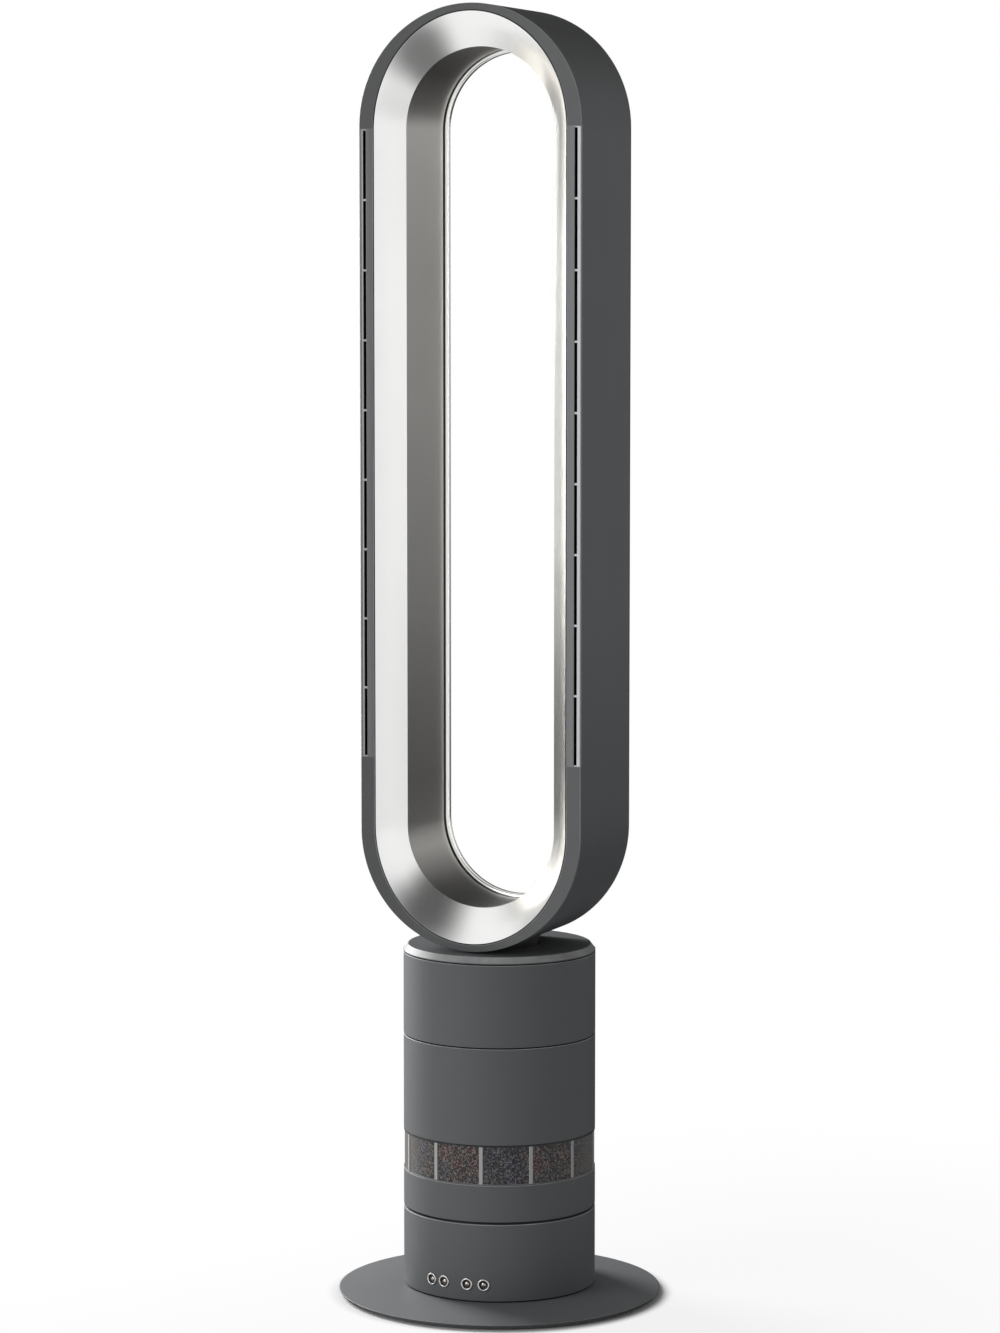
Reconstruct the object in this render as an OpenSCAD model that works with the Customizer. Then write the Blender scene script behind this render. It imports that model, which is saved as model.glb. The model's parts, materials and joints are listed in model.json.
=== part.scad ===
// Bladeless tower fan: a tall obround air loop on a turning body, over a fixed housing on a foot disc.
// Millimetres. The origin is the middle of the foot on the floor, Z is up and the front faces -Y.

/* [Heights] */
// Height of the foot disc where the body stands on it
foot_h = 8.7; // [8:0.1:12]
// Height of the fixed lower housing
lower_h = 60.9; // [58:0.1:80]
// Gap between the fixed housing and the turning body
swing_gap = 1; // [0.6:0.1:2]
// Height of the turning collar under the intake
collar_h = 29.6; // [26:0.1:45]
// Height of the intake band
intake_h = 30.9; // [20:0.1:50]
// Height of the middle housing
mid_h = 75.2; // [60:0.1:85]
// Height of the upper housing
upper_h = 64.7; // [55:0.1:90]
// Height of the cap
cap_h = 6.1; // [5:0.1:9]
// Gap between the cap and the underside of the air loop
loop_gap = 1.4; // [1:0.1:3]

/* [Body] */
// Diameter of the body
body_d = 150; // [146:1:170]
// Wall of the body's housings
wall = 2.5; // [2:0.1:3]
// Chamfer along each seam of the body
seam_cut = 0.4; // [0.2:0.1:0.8]
// Width of the bevel round the cap
cap_bevel = 3.6; // [2:0.1:6]
// Upright edge of the cap under its bevel
cap_edge = 1.2; // [0.8:0.1:2]

/* [Foot] */
// Diameter of the foot disc
foot_d = 252; // [240:2:300]
// Height of the disc's rounded edge above the floor
foot_edge_h = 4.4; // [4.2:0.1:5]
// Height of the rubber feet under the disc
feet_h = 1.5; // [1.3:0.1:1.7]
// Number of rubber feet
feet_n = 6; // [4:1:8]
// Radius of a rubber foot
feet_r = 7; // [5:0.5:9]
// Diameter of the ballast plate
ballast_d = 184; // [160:2:190]
// Thickness of the ballast plate
ballast_t = 2.4; // [2:0.1:2.6]

/* [Buttons] */
// Height of the button row above the floor
button_z = 22.5; // [20:0.5:28]
// Radius of a button
button_r = 3.3; // [2.2:0.1:3.6]
// Travel of a button
button_travel = 0.6; // [0.3:0.1:1]
// Width of the metal ring round a button
bezel_w = 1.4; // [0.8:0.1:1.6]
// How far the ring stands out of the housing
bezel_proud = 0.9; // [0.5:0.1:1.5]
// How far a button stands out of the housing
button_proud = 0.5; // [0.2:0.1:1]
// Place of the power button in degrees from the front
power_at = -21; // [-26:0.1:-20]
// Place of the slower button in degrees from the front
slower_at = -11.7; // [-13:0.1:-8]
// Place of the faster button in degrees from the front
faster_at = 3.4; // [1:0.1:5]
// Place of the swing button in degrees from the front
swing_at = 13.6; // [13:0.1:20]

/* [Intake] */
// Number of intake panels
panel_n = 12; // [8:1:16]
// Width of the dividers between the panels
divider_w = 3; // [2:0.1:4]
// Place of the first divider in degrees from the +X side
divider_at = 12; // [0:0.5:29]
// Height of the thin rings above and below the panels
band_ring_h = 1; // [0.6:0.1:2]

/* [Swing] */
// Teeth of the pinion
pinion_teeth = 16; // [14:1:16]
// Teeth of the whole ring that the sector is cut from
ring_teeth = 88; // [86:1:88]
// Half of the angle that the toothed sector spans
sector_half = 45; // [42:1:50]
// Gap between the swing motor and the spindle's nut
swing_motor_gap = 3; // [2:0.1:8]
// Height of the swing motor
swing_motor_h = 20; // [12:0.5:22]

/* [Impeller] */
// Radius of the shroud at its throat
throat_r = 47; // [44:0.5:49]
// Radius of the diffuser's inside
diffuser_r = 54; // [52:0.5:56]
// Height of the diffuser
diffuser_h = 40; // [36:1:46]
// Number of impeller blades
blade_n = 9; // [5:1:11]
// Number of still vanes in the diffuser
vane_n = 11; // [7:1:13]
// Radius of the fan motor
fan_motor_r = 28; // [22:0.5:29]
// Radius of the impeller's shaft
shaft_r = 3; // [2:0.1:3.5]

/* [Neck] */
// Radius of the neck
neck_r = 32; // [30:0.5:35]
// Wall of the neck
neck_wall = 5; // [4.6:0.1:6]

/* [Air loop] */
// Width of the air loop
loop_w = 182.8; // [176:0.2:200]
// Height of the air loop
loop_h = 721.5; // [600:0.5:800]
// Depth of the air loop from front to back
loop_d = 102.7; // [95:0.1:120]
// How far the middle of the air loop stands in front of the body's axis
loop_forward = 7.4; // [0:0.1:9]
// Wall of the loop's casing, rim and rear cover
loop_wall = 2.4; // [2:0.1:3]
// Width of the dark rim beside the silver cone
rim_side_w = 11.9; // [11.4:0.1:13]
// Width of the dark rim above and below the silver cone
rim_end_w = 5.55; // [5:0.05:8]
// How much longer than round the ends of the cone's front edge are
cone_end_more = 9; // [1:0.5:10]
// Width of the silver cone at its sides
cone_side_w = 18.2; // [14:0.1:22]
// Width of the silver cone at its top and bottom
cone_end_w = 25.9; // [20:0.1:30]
// Depth of the silver cone
cone_d = 20.8; // [15:0.1:25]
// Width of the gap between the front rim and the cone
rim_gap = 0.6; // [0.4:0.1:1]
// How much wider the tunnel is at its back
tunnel_flare = 3.6; // [1:0.1:6]
// How much higher the tunnel is at its back
tunnel_rise = 5.7; // [1:0.1:7]
// Wall of the cone and of the tunnel
liner_t = 2; // [1.5:0.1:2.2]
// How far the rear lip stands into the tunnel
lip_w = 3.1; // [2:0.1:4]
// Depth of the rear lip
lip_d = 5.75; // [4:0.05:8]
// Hairline joint between the lengths that the silver cone and the rear lip are each moulded in
ring_joint = 0.1; // [0.05:0.05:0.3]

/* [Air slots] */
// Number of air slots in each side
slot_n = 9; // [4:1:9]
// Width of an air slot
slot_w = 2.5; // [2:0.1:2.8]
// Height of the bridge between two slots
bridge_h = 1.6; // [1:0.1:3]
// Straight edge of the loop left above the slots
slots_high_gap = 2.85; // [2.8:0.05:30]
// Straight edge of the loop left below the slots
slots_low_gap = 56.85; // [10:0.05:90]
// Width of the rim left outside the slot's trim
trim_in = 0.6; // [0.5:0.1:0.8]
// Width of the trim outside the slot
trim_out_w = 2.5; // [2.2:0.1:2.7]
// Width of the trim inside the slot and at its ends
trim_lip_w = 0.8; // [0.6:0.1:1]
// Depth of the slot's nozzle
nozzle_d = 9; // [6:0.5:14]

/* [Hidden] */
$fn = 64;

// Clearances and the overrun of every cut
over = 1;
quarter = 90;
fit = 0.05;
clear = 0.3;
seat_gap = 0.1;

// Colours
slate = [0.29, 0.31, 0.32];
dark = [0.12, 0.12, 0.13];
silver = [0.82, 0.83, 0.83];
steel = [0.6, 0.61, 0.63];
pale = [0.86, 0.86, 0.84];
board_green = [0.1, 0.32, 0.18];
rubber_black = [0.06, 0.06, 0.06];

// Levels of the body's seams, from the floor up
z_low = foot_h + lower_h;
z_collar = z_low + swing_gap;
z_intake = z_collar + collar_h;
z_mid = z_intake + intake_h;
z_upper = z_mid + mid_h;
z_cap = z_upper + upper_h;
z_top = z_cap + cap_h;
z_loop = z_top + loop_gap;
z_loop_mid = z_loop + loop_h / 2;

body_r = body_d / 2;
in_r = body_r - wall;
foot_r = foot_d / 2;
edge_r = (foot_edge_h - feet_h) / 2;

// Foot and base screws
cover_t = 1.5;
cover_edge_w = 6;
cover_r = foot_r - cover_edge_w;
feet_at_r = cover_r - feet_r - cover_edge_w;
plug_r = 3;
spigot_t = 2;
spigot_h = 4;
spigot_r = in_r - clear;
screw_r = 1.75;
screw_head_r = 3;
screw_head_h = 1.1;
screw_hole_r = screw_r + clear;
post_r = 4.5;
post_at_r = 50;
post_bore_d = 16;
rib_t = 2;
cover_z = feet_h;
ballast_z = cover_z + cover_t;
ballast_top = ballast_z + ballast_t;

// Swing deck and turntable, down from the collar
turn_rise = 3.6;
plate_t = 3;
plate_r = in_r - over;
plate_z = z_collar - turn_rise - plate_t;
gear_room = 11;
deck_t = 3;
deck_top = plate_z - gear_room;
deck_z = deck_top - deck_t;
slide_t = 2.7;
slide_w = 6;
wall_in_w = 7;
slide_r = plate_r - 2 * spigot_t - fit;
hub_r = 18;
hub_drop = 4;
hub_rise = 5;
spindle_r = 14;
spindle_in_r = 11;
nut_h = 2.7;
nut_r = 18;
spindle_tail = 1;
nut_top = deck_z - hub_drop - clear;
rim_wall_w = 9.5;
turn_screw_r = plate_r - rim_wall_w / 2 - fit;
deck_head_h = 2;

// Swing gear
pressure = 20;
addendum_share = 0.8;
root_share = 1.1;
backlash = 0.3;
sector_h = 8;
sector_wall = 2.6;
sector_gap = 1.975;
deck_wall_r = slide_r + (wall_in_w - slide_w) / 2;
sector_r = deck_wall_r - wall_in_w - sector_gap;
gear_module = (sector_r - sector_wall) / (ring_teeth / 2 + root_share);
pinion_r = gear_module * pinion_teeth / 2;
ring_r = gear_module * ring_teeth / 2;
pinion_at = ring_r - pinion_r;
swing_motor_r = pinion_at - nut_r - swing_motor_gap;
addendum = gear_module * addendum_share;
dedendum = gear_module * root_share;
pinion_hub_h = 1.7;
pinion_hub_r = 6;
pinion_h = 7.5;
pinion_z = deck_top + clear + pinion_hub_h;
pin_shaft_r = 3.5;
pin_shaft_d = 12;
peg_r = 1.2;
peg_h = 2.2;
peg_end_a = 8;
ear_r = 4.5;
ear_t = 1.6;
ear_out = 5;
ear_screw_r = 1.3;

// Buttons and switches, measured out from the body's axis
seat_d = 0.4;
bezel_r = button_r + fit + bezel_w;
bezel_tube_r = button_r + fit + bezel_w / 2;
bezel_tube_l = 3.8;
collar_w = 0.9;
collar_t = 1;
stem_r = 1.2;
stem_l = 1;
button_back = body_r - bezel_tube_l - clear;
stem_end = button_back - collar_t - stem_l;
plunger_r = 1.5;
plunger_l = 1.2;
switch_w = 6;
switch_d = 3.4;
switch_top = stem_end - button_travel - clear;
board_t = 1.6;
board_out_r = switch_top - plunger_l - switch_d;
board_over_h = 7.5;
board_over_a = 8;

// Cord grommet
cord_r = 3.5;
gland_z = 21;
gland_r = 4.9;
gland_flange_r = 6.5;
gland_proud = 1.8;
gland_in_r = 6.2;
gland_in_t = 2;
gland_gap = 0.5;
gland_back = in_r - gland_gap - gland_in_t;

// Control board
pcb_w = 56;
pcb_l = 50;
standoff_h = 5.3;
standoff_r = 3;
standoff_in = 4;
small_screw_r = 1.25;
small_head_r = 2.2;
small_head_h = 1.6;
pcb_z = foot_h + standoff_h;
choke_w = 22;
choke_l = 18;
choke_h = 13;
relay_w = 15;
relay_l = 12;
relay_h = 11;
can_r = 5;
can_h = 12;

// Driver board in the collar
driver_w = 64;
driver_l = 50;
driver_rise = 10;
driver_z = plate_z + plate_t + driver_rise;
sink_w = 26;
sink_l = 14;
sink_h = 10;

// Collar, pillars and intake
collar_flange_w = 14.5;
collar_flange_t = 2.5;
pillar_r = 3.5;
pillar_in = 6.5;
pillar_at_r = in_r - pillar_in;
ledge_screw_r = 1.5;
ledge_screw_d = 12;
band_out_r = body_r - fit;
band_depth = 3.4;
mesh_in = 0.8;
mesh_t = 0.6;
mesh_r = body_r - mesh_in;
slit_n = 6;
slit_w = 1.6;
slit_margin = 2;

// Housings above the intake
ledge_t = 3;
ledge_w = 12.5;
mount_h = 3;
mount_r = 3;
mount_in = 9;
mount_at_r = in_r - mount_in;
shroud_flange_t = 2;
shroud_flange_r = mount_at_r + mount_r;
shroud_z = z_mid + ledge_t + mount_h;
bell_w = 5;
bell_h = 7;
throat_z = shroud_z + bell_h;
shroud_h = 39;
duct_t = 2;
diffuser_z = shroud_z + shroud_h;
diffuser_top = diffuser_z + diffuser_h;
house_spigot_h = 5;

// Impeller and fan motor
tip_gap = 1.5;
eye_drop = 1.1;
back_gap = 2.6;
impeller_z = throat_z - eye_drop;
impeller_top = diffuser_z - back_gap;
nose_r = 14;
back_r = 34;
back_t = 2;
blade_t = 1.5;
blade_arc_r = 30;
blade_low = 3;
hub_wall = 2;
motor_hole_r = 5;
sleeve_t = 3.9;
sleeve_r = fan_motor_r + sleeve_t;
cup_r = sleeve_r + seat_gap;
cup_gap = 0.4;
cup_z = diffuser_z + cup_gap;
motor_z = cup_z + hub_wall;
motor_h = 29;
motor_top = motor_z + motor_h;
motor_bore_r = shaft_r + over;
bearing_r = 8;
bearing_h = 5;
vane_t = 1.5;
vane_end = 6;
tail_h = 24;
tail_r = 12;
tail_nose = 2;
press_r = 22;
press_w = 3;

// Neck and its seal
neck_drop = 9;
neck_z = z_cap - neck_drop;
neck_in_r = neck_r - neck_wall;
neck_flange_w = 8;
neck_flange_t = 2.5;
cap_t = 2.5;
seal_t = 2;
seal_w = 5;
neck_screw_r = 1.25;
neck_head_r = 2.3;
neck_head_h = 1.4;
neck_screw_at = neck_r - neck_wall / 2;
neck_screw_d = 11;
pad_r = 2.4;
saddle_h = 8.1;
saddle_over = 10;

// Air loop, planes from front to back
cone_w = loop_w - 2 * rim_side_w;
cone_front_h = loop_h - 2 * rim_end_w;
cone_end = cone_w / 2 + cone_end_more;
tunnel_w = cone_w - 2 * cone_side_w;
tunnel_h = cone_front_h - 2 * cone_end_w;
y_front = -loop_d / 2 - loop_forward;
y_back = loop_d / 2 - loop_forward;
y_cone = y_front + cone_d;
y_lip = y_back - lip_d;
cone_edge = 0.3;
cone_flange_w = 3.6;
cone_flange_t = 1.6;
rim_open = cone_edge + rim_gap;
end_steps = 40;
spigot_wall = 2.7;
loop_spigot_r = neck_in_r - clear;
spigot_flange_w = 7;
spigot_up = 12;
trim_w = trim_out_w + slot_w + trim_lip_w;
trim_x = loop_w / 2 - trim_in - trim_w;
slot_x = trim_x + trim_lip_w;
nozzle_t = 0.6;
ring_joint_rise = (tunnel_h - tunnel_w) / 2;
slot_row = loop_h - loop_w - slots_high_gap - slots_low_gap;
slot_pitch = (slot_row + bridge_h) / slot_n;
slot_rise = (slots_low_gap - slots_high_gap) / 2;
rib_n = 5;
rib_end_gap = 18;
rib_gap = 10;
rib_pitch = (tunnel_h - tunnel_w - 2 * rib_end_gap) / rib_n;
rib_l = rib_pitch - rib_gap;
rib_y = 5;
rib_plate_t = 1.6;
rib_x = (tunnel_w + tunnel_flare) / 2 + liner_t;

// Points of an obround w wide and h high whose two ends are half ellipses e high
function obround(w, h, e) = concat(
    [for (i = [0 : end_steps]) let (a = 180 * i / end_steps)
        [w / 2 * cos(a), h / 2 - e + e * sin(a)]],
    [for (i = [0 : end_steps]) let (a = 180 + 180 * i / end_steps)
        [w / 2 * cos(a), e - h / 2 + e * sin(a)]]
);

// Involute angle in degrees, and the half angle of a tooth t thick on the pitch circle, at radius q
function inv(a) = tan(a) * 180 / PI - a;
function at_radius(q, base) = q > base ? acos(base / q) : 0;
function half_tooth(q, r, t) =
    t / (2 * r) * 180 / PI + inv(pressure) - inv(at_radius(q, r * cos(pressure)));

// Outline of one tooth t thick on the pitch circle r, from radius lo to radius hi
tooth_steps = 5;
function tooth(r, t, lo, hi) = let (q = [for (i = [0 : tooth_steps]) lo + (hi - lo) * i / tooth_steps])
    concat(
        [for (i = [0 : tooth_steps]) let (a = half_tooth(q[i], r, t)) [q[i] * cos(a), q[i] * sin(a)]],
        [for (i = [tooth_steps : -1 : 0]) let (a = half_tooth(q[i], r, t)) [q[i] * cos(a), -q[i] * sin(a)]]
    );

module ring(r_out, r_in, h) {
    difference() {
        cylinder(r = r_out, h = h);
        translate([0, 0, -over]) cylinder(r = r_in, h = h + 2 * over);
    }
}

// A wedge of the plan between two angles, as tall as it is asked
module wedge(a0, a1, h) {
    reach = foot_d;
    mid = (a0 + a1) / 2;
    linear_extrude(h)
        polygon([[0, 0], [reach * cos(a0), reach * sin(a0)], [reach * cos(mid), reach * sin(mid)],
            [reach * cos(a1), reach * sin(a1)]]);
}

// One of the body's round housings, with a chamfer along its lower and upper edge
module housing(z, h, low, high) {
    rotate_extrude($fn = 128)
        polygon([[in_r, z], [body_r - low, z], [body_r, z + low], [body_r, z + h - high],
            [body_r - high, z + h], [in_r, z + h]]);
}

// Lays a child's Z along the radius that is a degrees from the front, z above the floor
module radial(a, z) {
    rotate([0, 0, a - quarter]) translate([0, 0, z]) rotate([0, quarter, 0]) children();
}

module around(n, r, a = 0) {
    for (i = [0 : n - 1]) rotate([0, 0, a + 360 * i / n]) translate([r, 0, 0]) children();
}

// A screw that stands head down at the origin, or head up where it is turned over
module screw(r, head_r, head_h, length) {
    cylinder(r = head_r, h = head_h, $fn = 24);
    translate([0, 0, head_h]) cylinder(r = r, h = length, $fn = 24);
}

module hanging_screw(r, head_r, head_h, length) {
    translate([0, 0, head_h]) mirror([0, 0, 1]) screw(r, head_r, head_h, length);
}

// Plan of the loop: an outline in X and Z, as deep as from y0 to y1
module deep(y0, y1) {
    translate([0, y1, z_loop_mid]) rotate([quarter, 0, 0]) linear_extrude(y1 - y0) children();
}

// Two round ends and the straight part between them
module stadium_plan(w, h) {
    union() {
        translate([0, (h - w) / 2]) circle(d = w, $fn = 180);
        translate([0, (w - h) / 2]) circle(d = w, $fn = 180);
        square([w, h - w], center = true);
    }
}

// A flared obround solid between two depths
module flare(w0, h0, e0, y0, w1, h1, e1, y1) {
    hull() {
        deep(y0, y0 + fit) polygon(obround(w0, h0, e0));
        deep(y1 - fit, y1) polygon(obround(w1, h1, e1));
    }
}

module rubber_feet() {
    color(rubber_black) around(feet_n, feet_at_r) {
        cylinder(r = feet_r, h = feet_h);
        cylinder(r = plug_r, h = feet_h + cover_t);
    }
}

module base_holes(z, h, r) {
    around(4, post_at_r, 45) translate([0, 0, z]) cylinder(r = r, h = h);
}

module underside_cover() {
    color(dark) difference() {
        translate([0, 0, cover_z]) cylinder(r = cover_r, h = cover_t, $fn = 128);
        base_holes(cover_z - over, cover_t + 2 * over, screw_hole_r);
        around(feet_n, feet_at_r) cylinder(r = plug_r + fit, h = ballast_top);
    }
}

module ballast_plate() {
    color(steel) difference() {
        translate([0, 0, ballast_z]) cylinder(d = ballast_d, h = ballast_t, $fn = 128);
        base_holes(ballast_z - over, ballast_t + 2 * over, screw_hole_r);
    }
}

module foot_disc() {
    color(slate) difference() {
        union() {
            rotate_extrude($fn = 180) {
                translate([foot_r - edge_r, feet_h + edge_r]) circle(r = edge_r, $fn = 32);
                polygon([[0, feet_h], [foot_r - edge_r, feet_h], [foot_r - edge_r, foot_edge_h],
                    [body_r, foot_h], [0, foot_h]]);
            }
            translate([0, 0, foot_h]) ring(spigot_r, spigot_r - spigot_t, spigot_h);
            for (x = [-1, 1], y = [-1, 1])
                translate([x * (pcb_w / 2 - standoff_in), y * (pcb_l / 2 - standoff_in), foot_h])
                    cylinder(r = standoff_r, h = standoff_h);
        }
        translate([0, 0, feet_h - over]) cylinder(r = cover_r + clear, h = cover_t + over, $fn = 128);
        translate([0, 0, ballast_z - over])
            cylinder(d = ballast_d + 2 * clear, h = ballast_t + over, $fn = 128);
        base_holes(ballast_top - over, foot_h, screw_hole_r);
        for (x = [-1, 1], y = [-1, 1])
            translate([x * (pcb_w / 2 - standoff_in), y * (pcb_l / 2 - standoff_in), foot_h])
                cylinder(r = small_screw_r + fit, h = standoff_h + over);
    }
}

module lower_housing() {
    rib_z = foot_h + spigot_h + clear;
    color(slate) difference() {
        union() {
            housing(foot_h, lower_h, seam_cut, seam_cut);
            around(4, 0, 45) {
                translate([post_at_r, 0, foot_h]) cylinder(r = post_r, h = deck_z - foot_h);
                translate([post_at_r + screw_hole_r, -rib_t / 2, rib_z])
                    cube([in_r + fit - post_at_r - screw_hole_r, rib_t, deck_z - rib_z]);
            }
        }
        base_holes(foot_h - over, post_bore_d + over, screw_r + fit);
        base_holes(deck_z - post_bore_d, post_bore_d + over, screw_r + fit);
        for (a = [power_at, slower_at, faster_at, swing_at]) radial(a, button_z) {
            translate([0, 0, in_r - wall]) cylinder(r = bezel_tube_r + fit, h = 3 * wall);
            translate([0, 0, body_r - seat_d]) cylinder(r = bezel_r + fit, h = wall);
        }
        radial(180, gland_z) {
            translate([0, 0, in_r - wall]) cylinder(r = gland_r + fit, h = 3 * wall);
            translate([0, 0, body_r - seat_d]) cylinder(r = gland_flange_r + fit, h = wall);
        }
    }
}

module base_screws() {
    color(steel) around(4, post_at_r, 45)
        translate([0, 0, feet_h - screw_head_h])
            screw(screw_r, screw_head_r, screw_head_h, foot_h + post_bore_d - feet_h - over);
}

module button_bezels() {
    color(silver) for (a = [power_at, slower_at, faster_at, swing_at]) radial(a, button_z) difference() {
        union() {
            translate([0, 0, body_r - seat_d]) cylinder(r = bezel_r, h = seat_d + bezel_proud);
            translate([0, 0, body_r - bezel_tube_l]) cylinder(r = bezel_tube_r, h = bezel_tube_l);
        }
        translate([0, 0, body_r - bezel_tube_l - over])
            cylinder(r = button_r + fit, h = bezel_tube_l + bezel_proud + 2 * over);
    }
}

module button(a) {
    radial(a, button_z) {
        translate([0, 0, button_back]) cylinder(r = button_r, h = body_r + button_proud - button_back);
        translate([0, 0, button_back - collar_t]) cylinder(r = button_r + collar_w, h = collar_t);
        translate([0, 0, stem_end]) cylinder(r = stem_r, h = stem_l);
    }
}

module power_button() {
    color(steel) button(power_at);
}

module slower_button() {
    color(steel) button(slower_at);
}

module faster_button() {
    color(steel) button(faster_at);
}

module swing_button() {
    color(steel) button(swing_at);
}

module switch_board() {
    top = button_z + board_over_h;
    color(board_green) translate([0, 0, foot_h]) intersection() {
        ring(board_out_r, board_out_r - board_t, top - foot_h);
        wedge(power_at - board_over_a - quarter, swing_at + board_over_a - quarter, top);
    }
}

module tact_switches() {
    color(dark) for (a = [power_at, slower_at, faster_at, swing_at]) radial(a, button_z) {
        translate([0, 0, switch_top - plunger_l]) cylinder(r = plunger_r, h = plunger_l);
        translate([-switch_w / 2, -switch_w / 2, board_out_r]) cube([switch_w, switch_w, switch_d]);
    }
}

module board(w, l, z) {
    difference() {
        translate([-w / 2, -l / 2, z]) cube([w, l, board_t]);
        for (x = [-1, 1], y = [-1, 1])
            translate([x * (w / 2 - standoff_in), y * (l / 2 - standoff_in), z - over])
                cylinder(r = small_screw_r + clear, h = board_t + 2 * over);
    }
}

module board_fixings(w, l, z, depth) {
    for (x = [-1, 1], y = [-1, 1])
        translate([x * (w / 2 - standoff_in), y * (l / 2 - standoff_in), z + board_t])
            hanging_screw(small_screw_r, small_head_r, small_head_h, board_t + depth);
}

module control_board() {
    color(board_green) board(pcb_w, pcb_l, pcb_z);
}

module board_parts() {
    color(dark) translate([0, 0, pcb_z + board_t]) {
        translate([-choke_w - standoff_r, -choke_l / 2, 0]) cube([choke_w, choke_l, choke_h]);
        translate([standoff_r, -relay_l - standoff_r, 0]) cube([relay_w, relay_l, relay_h]);
        translate([standoff_r + can_r, can_r + standoff_r, 0]) cylinder(r = can_r, h = can_h);
    }
}

module board_screws() {
    color(steel) board_fixings(pcb_w, pcb_l, pcb_z, standoff_h - over);
}

module cord_grommet() {
    color(rubber_black) radial(180, gland_z) difference() {
        union() {
            translate([0, 0, body_r - seat_d]) cylinder(r = gland_flange_r, h = seat_d + gland_proud);
            translate([0, 0, gland_back]) cylinder(r = gland_r, h = body_r - gland_back);
            translate([0, 0, gland_back]) cylinder(r = gland_in_r, h = gland_in_t);
        }
        translate([0, 0, gland_back - over])
            cylinder(r = cord_r, h = body_r + gland_proud - gland_back + 2 * over);
    }
}

module swing_deck() {
    color(dark) difference() {
        union() {
            translate([0, 0, deck_z]) cylinder(r = in_r - clear, h = deck_t, $fn = 128);
            translate([0, 0, deck_top])
                ring(deck_wall_r, deck_wall_r - wall_in_w, gear_room - slide_t - clear);
            translate([0, 0, deck_z - hub_drop]) cylinder(r = hub_r, h = hub_drop + deck_t + hub_rise);
        }
        translate([0, 0, deck_z - hub_drop - over])
            cylinder(r = spindle_r + fit, h = hub_drop + deck_t + hub_rise + 2 * over);
        base_holes(deck_z - over, deck_t + 2 * over, screw_hole_r);
        base_holes(deck_top, gear_room, screw_head_r + clear);
        translate([pinion_at, 0, deck_z - over]) cylinder(r = pin_shaft_r + over, h = deck_t + 2 * over);
        for (y = [-1, 1]) translate([pinion_at, y * (swing_motor_r + ear_out), deck_z - over])
            cylinder(r = ear_screw_r + fit, h = deck_t + 2 * over);
    }
}

module deck_screws() {
    color(steel) around(4, post_at_r, 45)
        translate([0, 0, deck_top])
            hanging_screw(screw_r, screw_head_r, deck_head_h, deck_t + post_bore_d - 2 * over);
}

module swing_motor() {
    color(steel) difference() {
        union() {
            translate([pinion_at, 0, deck_z - swing_motor_h]) cylinder(r = swing_motor_r, h = swing_motor_h);
            for (y = [-1, 1]) translate([pinion_at, y * (swing_motor_r + ear_out), deck_z - ear_t])
                cylinder(r = ear_r, h = ear_t);
            translate([pinion_at - ear_r, -swing_motor_r - ear_out, deck_z - ear_t])
                cube([2 * ear_r, 2 * (swing_motor_r + ear_out), ear_t]);
        }
        translate([pinion_at, 0, deck_z - pin_shaft_d])
            cylinder(r = pin_shaft_r + fit, h = pin_shaft_d + over);
        for (y = [-1, 1]) translate([pinion_at, y * (swing_motor_r + ear_out), deck_z - ear_t - over])
            cylinder(r = ear_screw_r + clear, h = ear_t + 2 * over);
    }
}

module motor_screws() {
    color(steel) for (y = [-1, 1])
        translate([pinion_at, y * (swing_motor_r + ear_out), deck_z - ear_t - small_head_h])
            screw(ear_screw_r, small_head_r, small_head_h, ear_t + deck_t);
}

module slide_ring() {
    color(pale) translate([0, 0, plate_z - clear - slide_t]) ring(slide_r, slide_r - slide_w, slide_t);
}

module drive_pinion() {
    t = PI * gear_module / 2 - backlash;
    lo = pinion_r - dedendum;
    color(pale) translate([pinion_at, 0, 0]) difference() {
        union() {
            translate([0, 0, pinion_z]) linear_extrude(pinion_h) {
                circle(r = lo + fit);
                for (i = [0 : pinion_teeth - 1])
                    rotate(360 * i / pinion_teeth) polygon(tooth(pinion_r, t, lo, pinion_r + addendum));
            }
            translate([0, 0, pinion_z - pinion_hub_h]) cylinder(r = pinion_hub_r, h = pinion_hub_h + fit);
        }
        translate([0, 0, pinion_z - pinion_hub_h - over])
            cylinder(r = pin_shaft_r + fit, h = pinion_h + pinion_hub_h + 2 * over);
    }
}

module pinion_shaft() {
    color(steel) translate([pinion_at, 0, deck_z - pin_shaft_d + clear])
        cylinder(r = pin_shaft_r, h = pinion_z + pinion_h - deck_z + pin_shaft_d);
}

module turntable() {
    color(dark) difference() {
        union() {
            translate([0, 0, plate_z]) cylinder(r = plate_r, h = plate_t, $fn = 128);
            translate([0, 0, plate_z]) ring(plate_r, plate_r - rim_wall_w, plate_t + turn_rise);
            translate([0, 0, nut_top - nut_h - spindle_tail])
                cylinder(r = spindle_r, h = plate_z - nut_top + nut_h + spindle_tail + fit);
            for (x = [-1, 1], y = [-1, 1])
                translate([x * (driver_w / 2 - standoff_in), y * (driver_l / 2 - standoff_in), plate_z])
                    cylinder(r = standoff_r, h = driver_z - plate_z);
        }
        translate([0, 0, nut_top - nut_h - spindle_tail - over]) cylinder(r = spindle_in_r, h = z_collar);
        around(4, turn_screw_r) translate([0, 0, plate_z - over])
            cylinder(r = screw_r + fit, h = plate_t + turn_rise + 2 * over);
        sector_pegs(peg_r + fit, peg_h + fit);
        for (x = [-1, 1], y = [-1, 1])
            translate([x * (driver_w / 2 - standoff_in), y * (driver_l / 2 - standoff_in), plate_z + plate_t])
                cylinder(r = small_screw_r + fit, h = driver_rise + over);
    }
}

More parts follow.
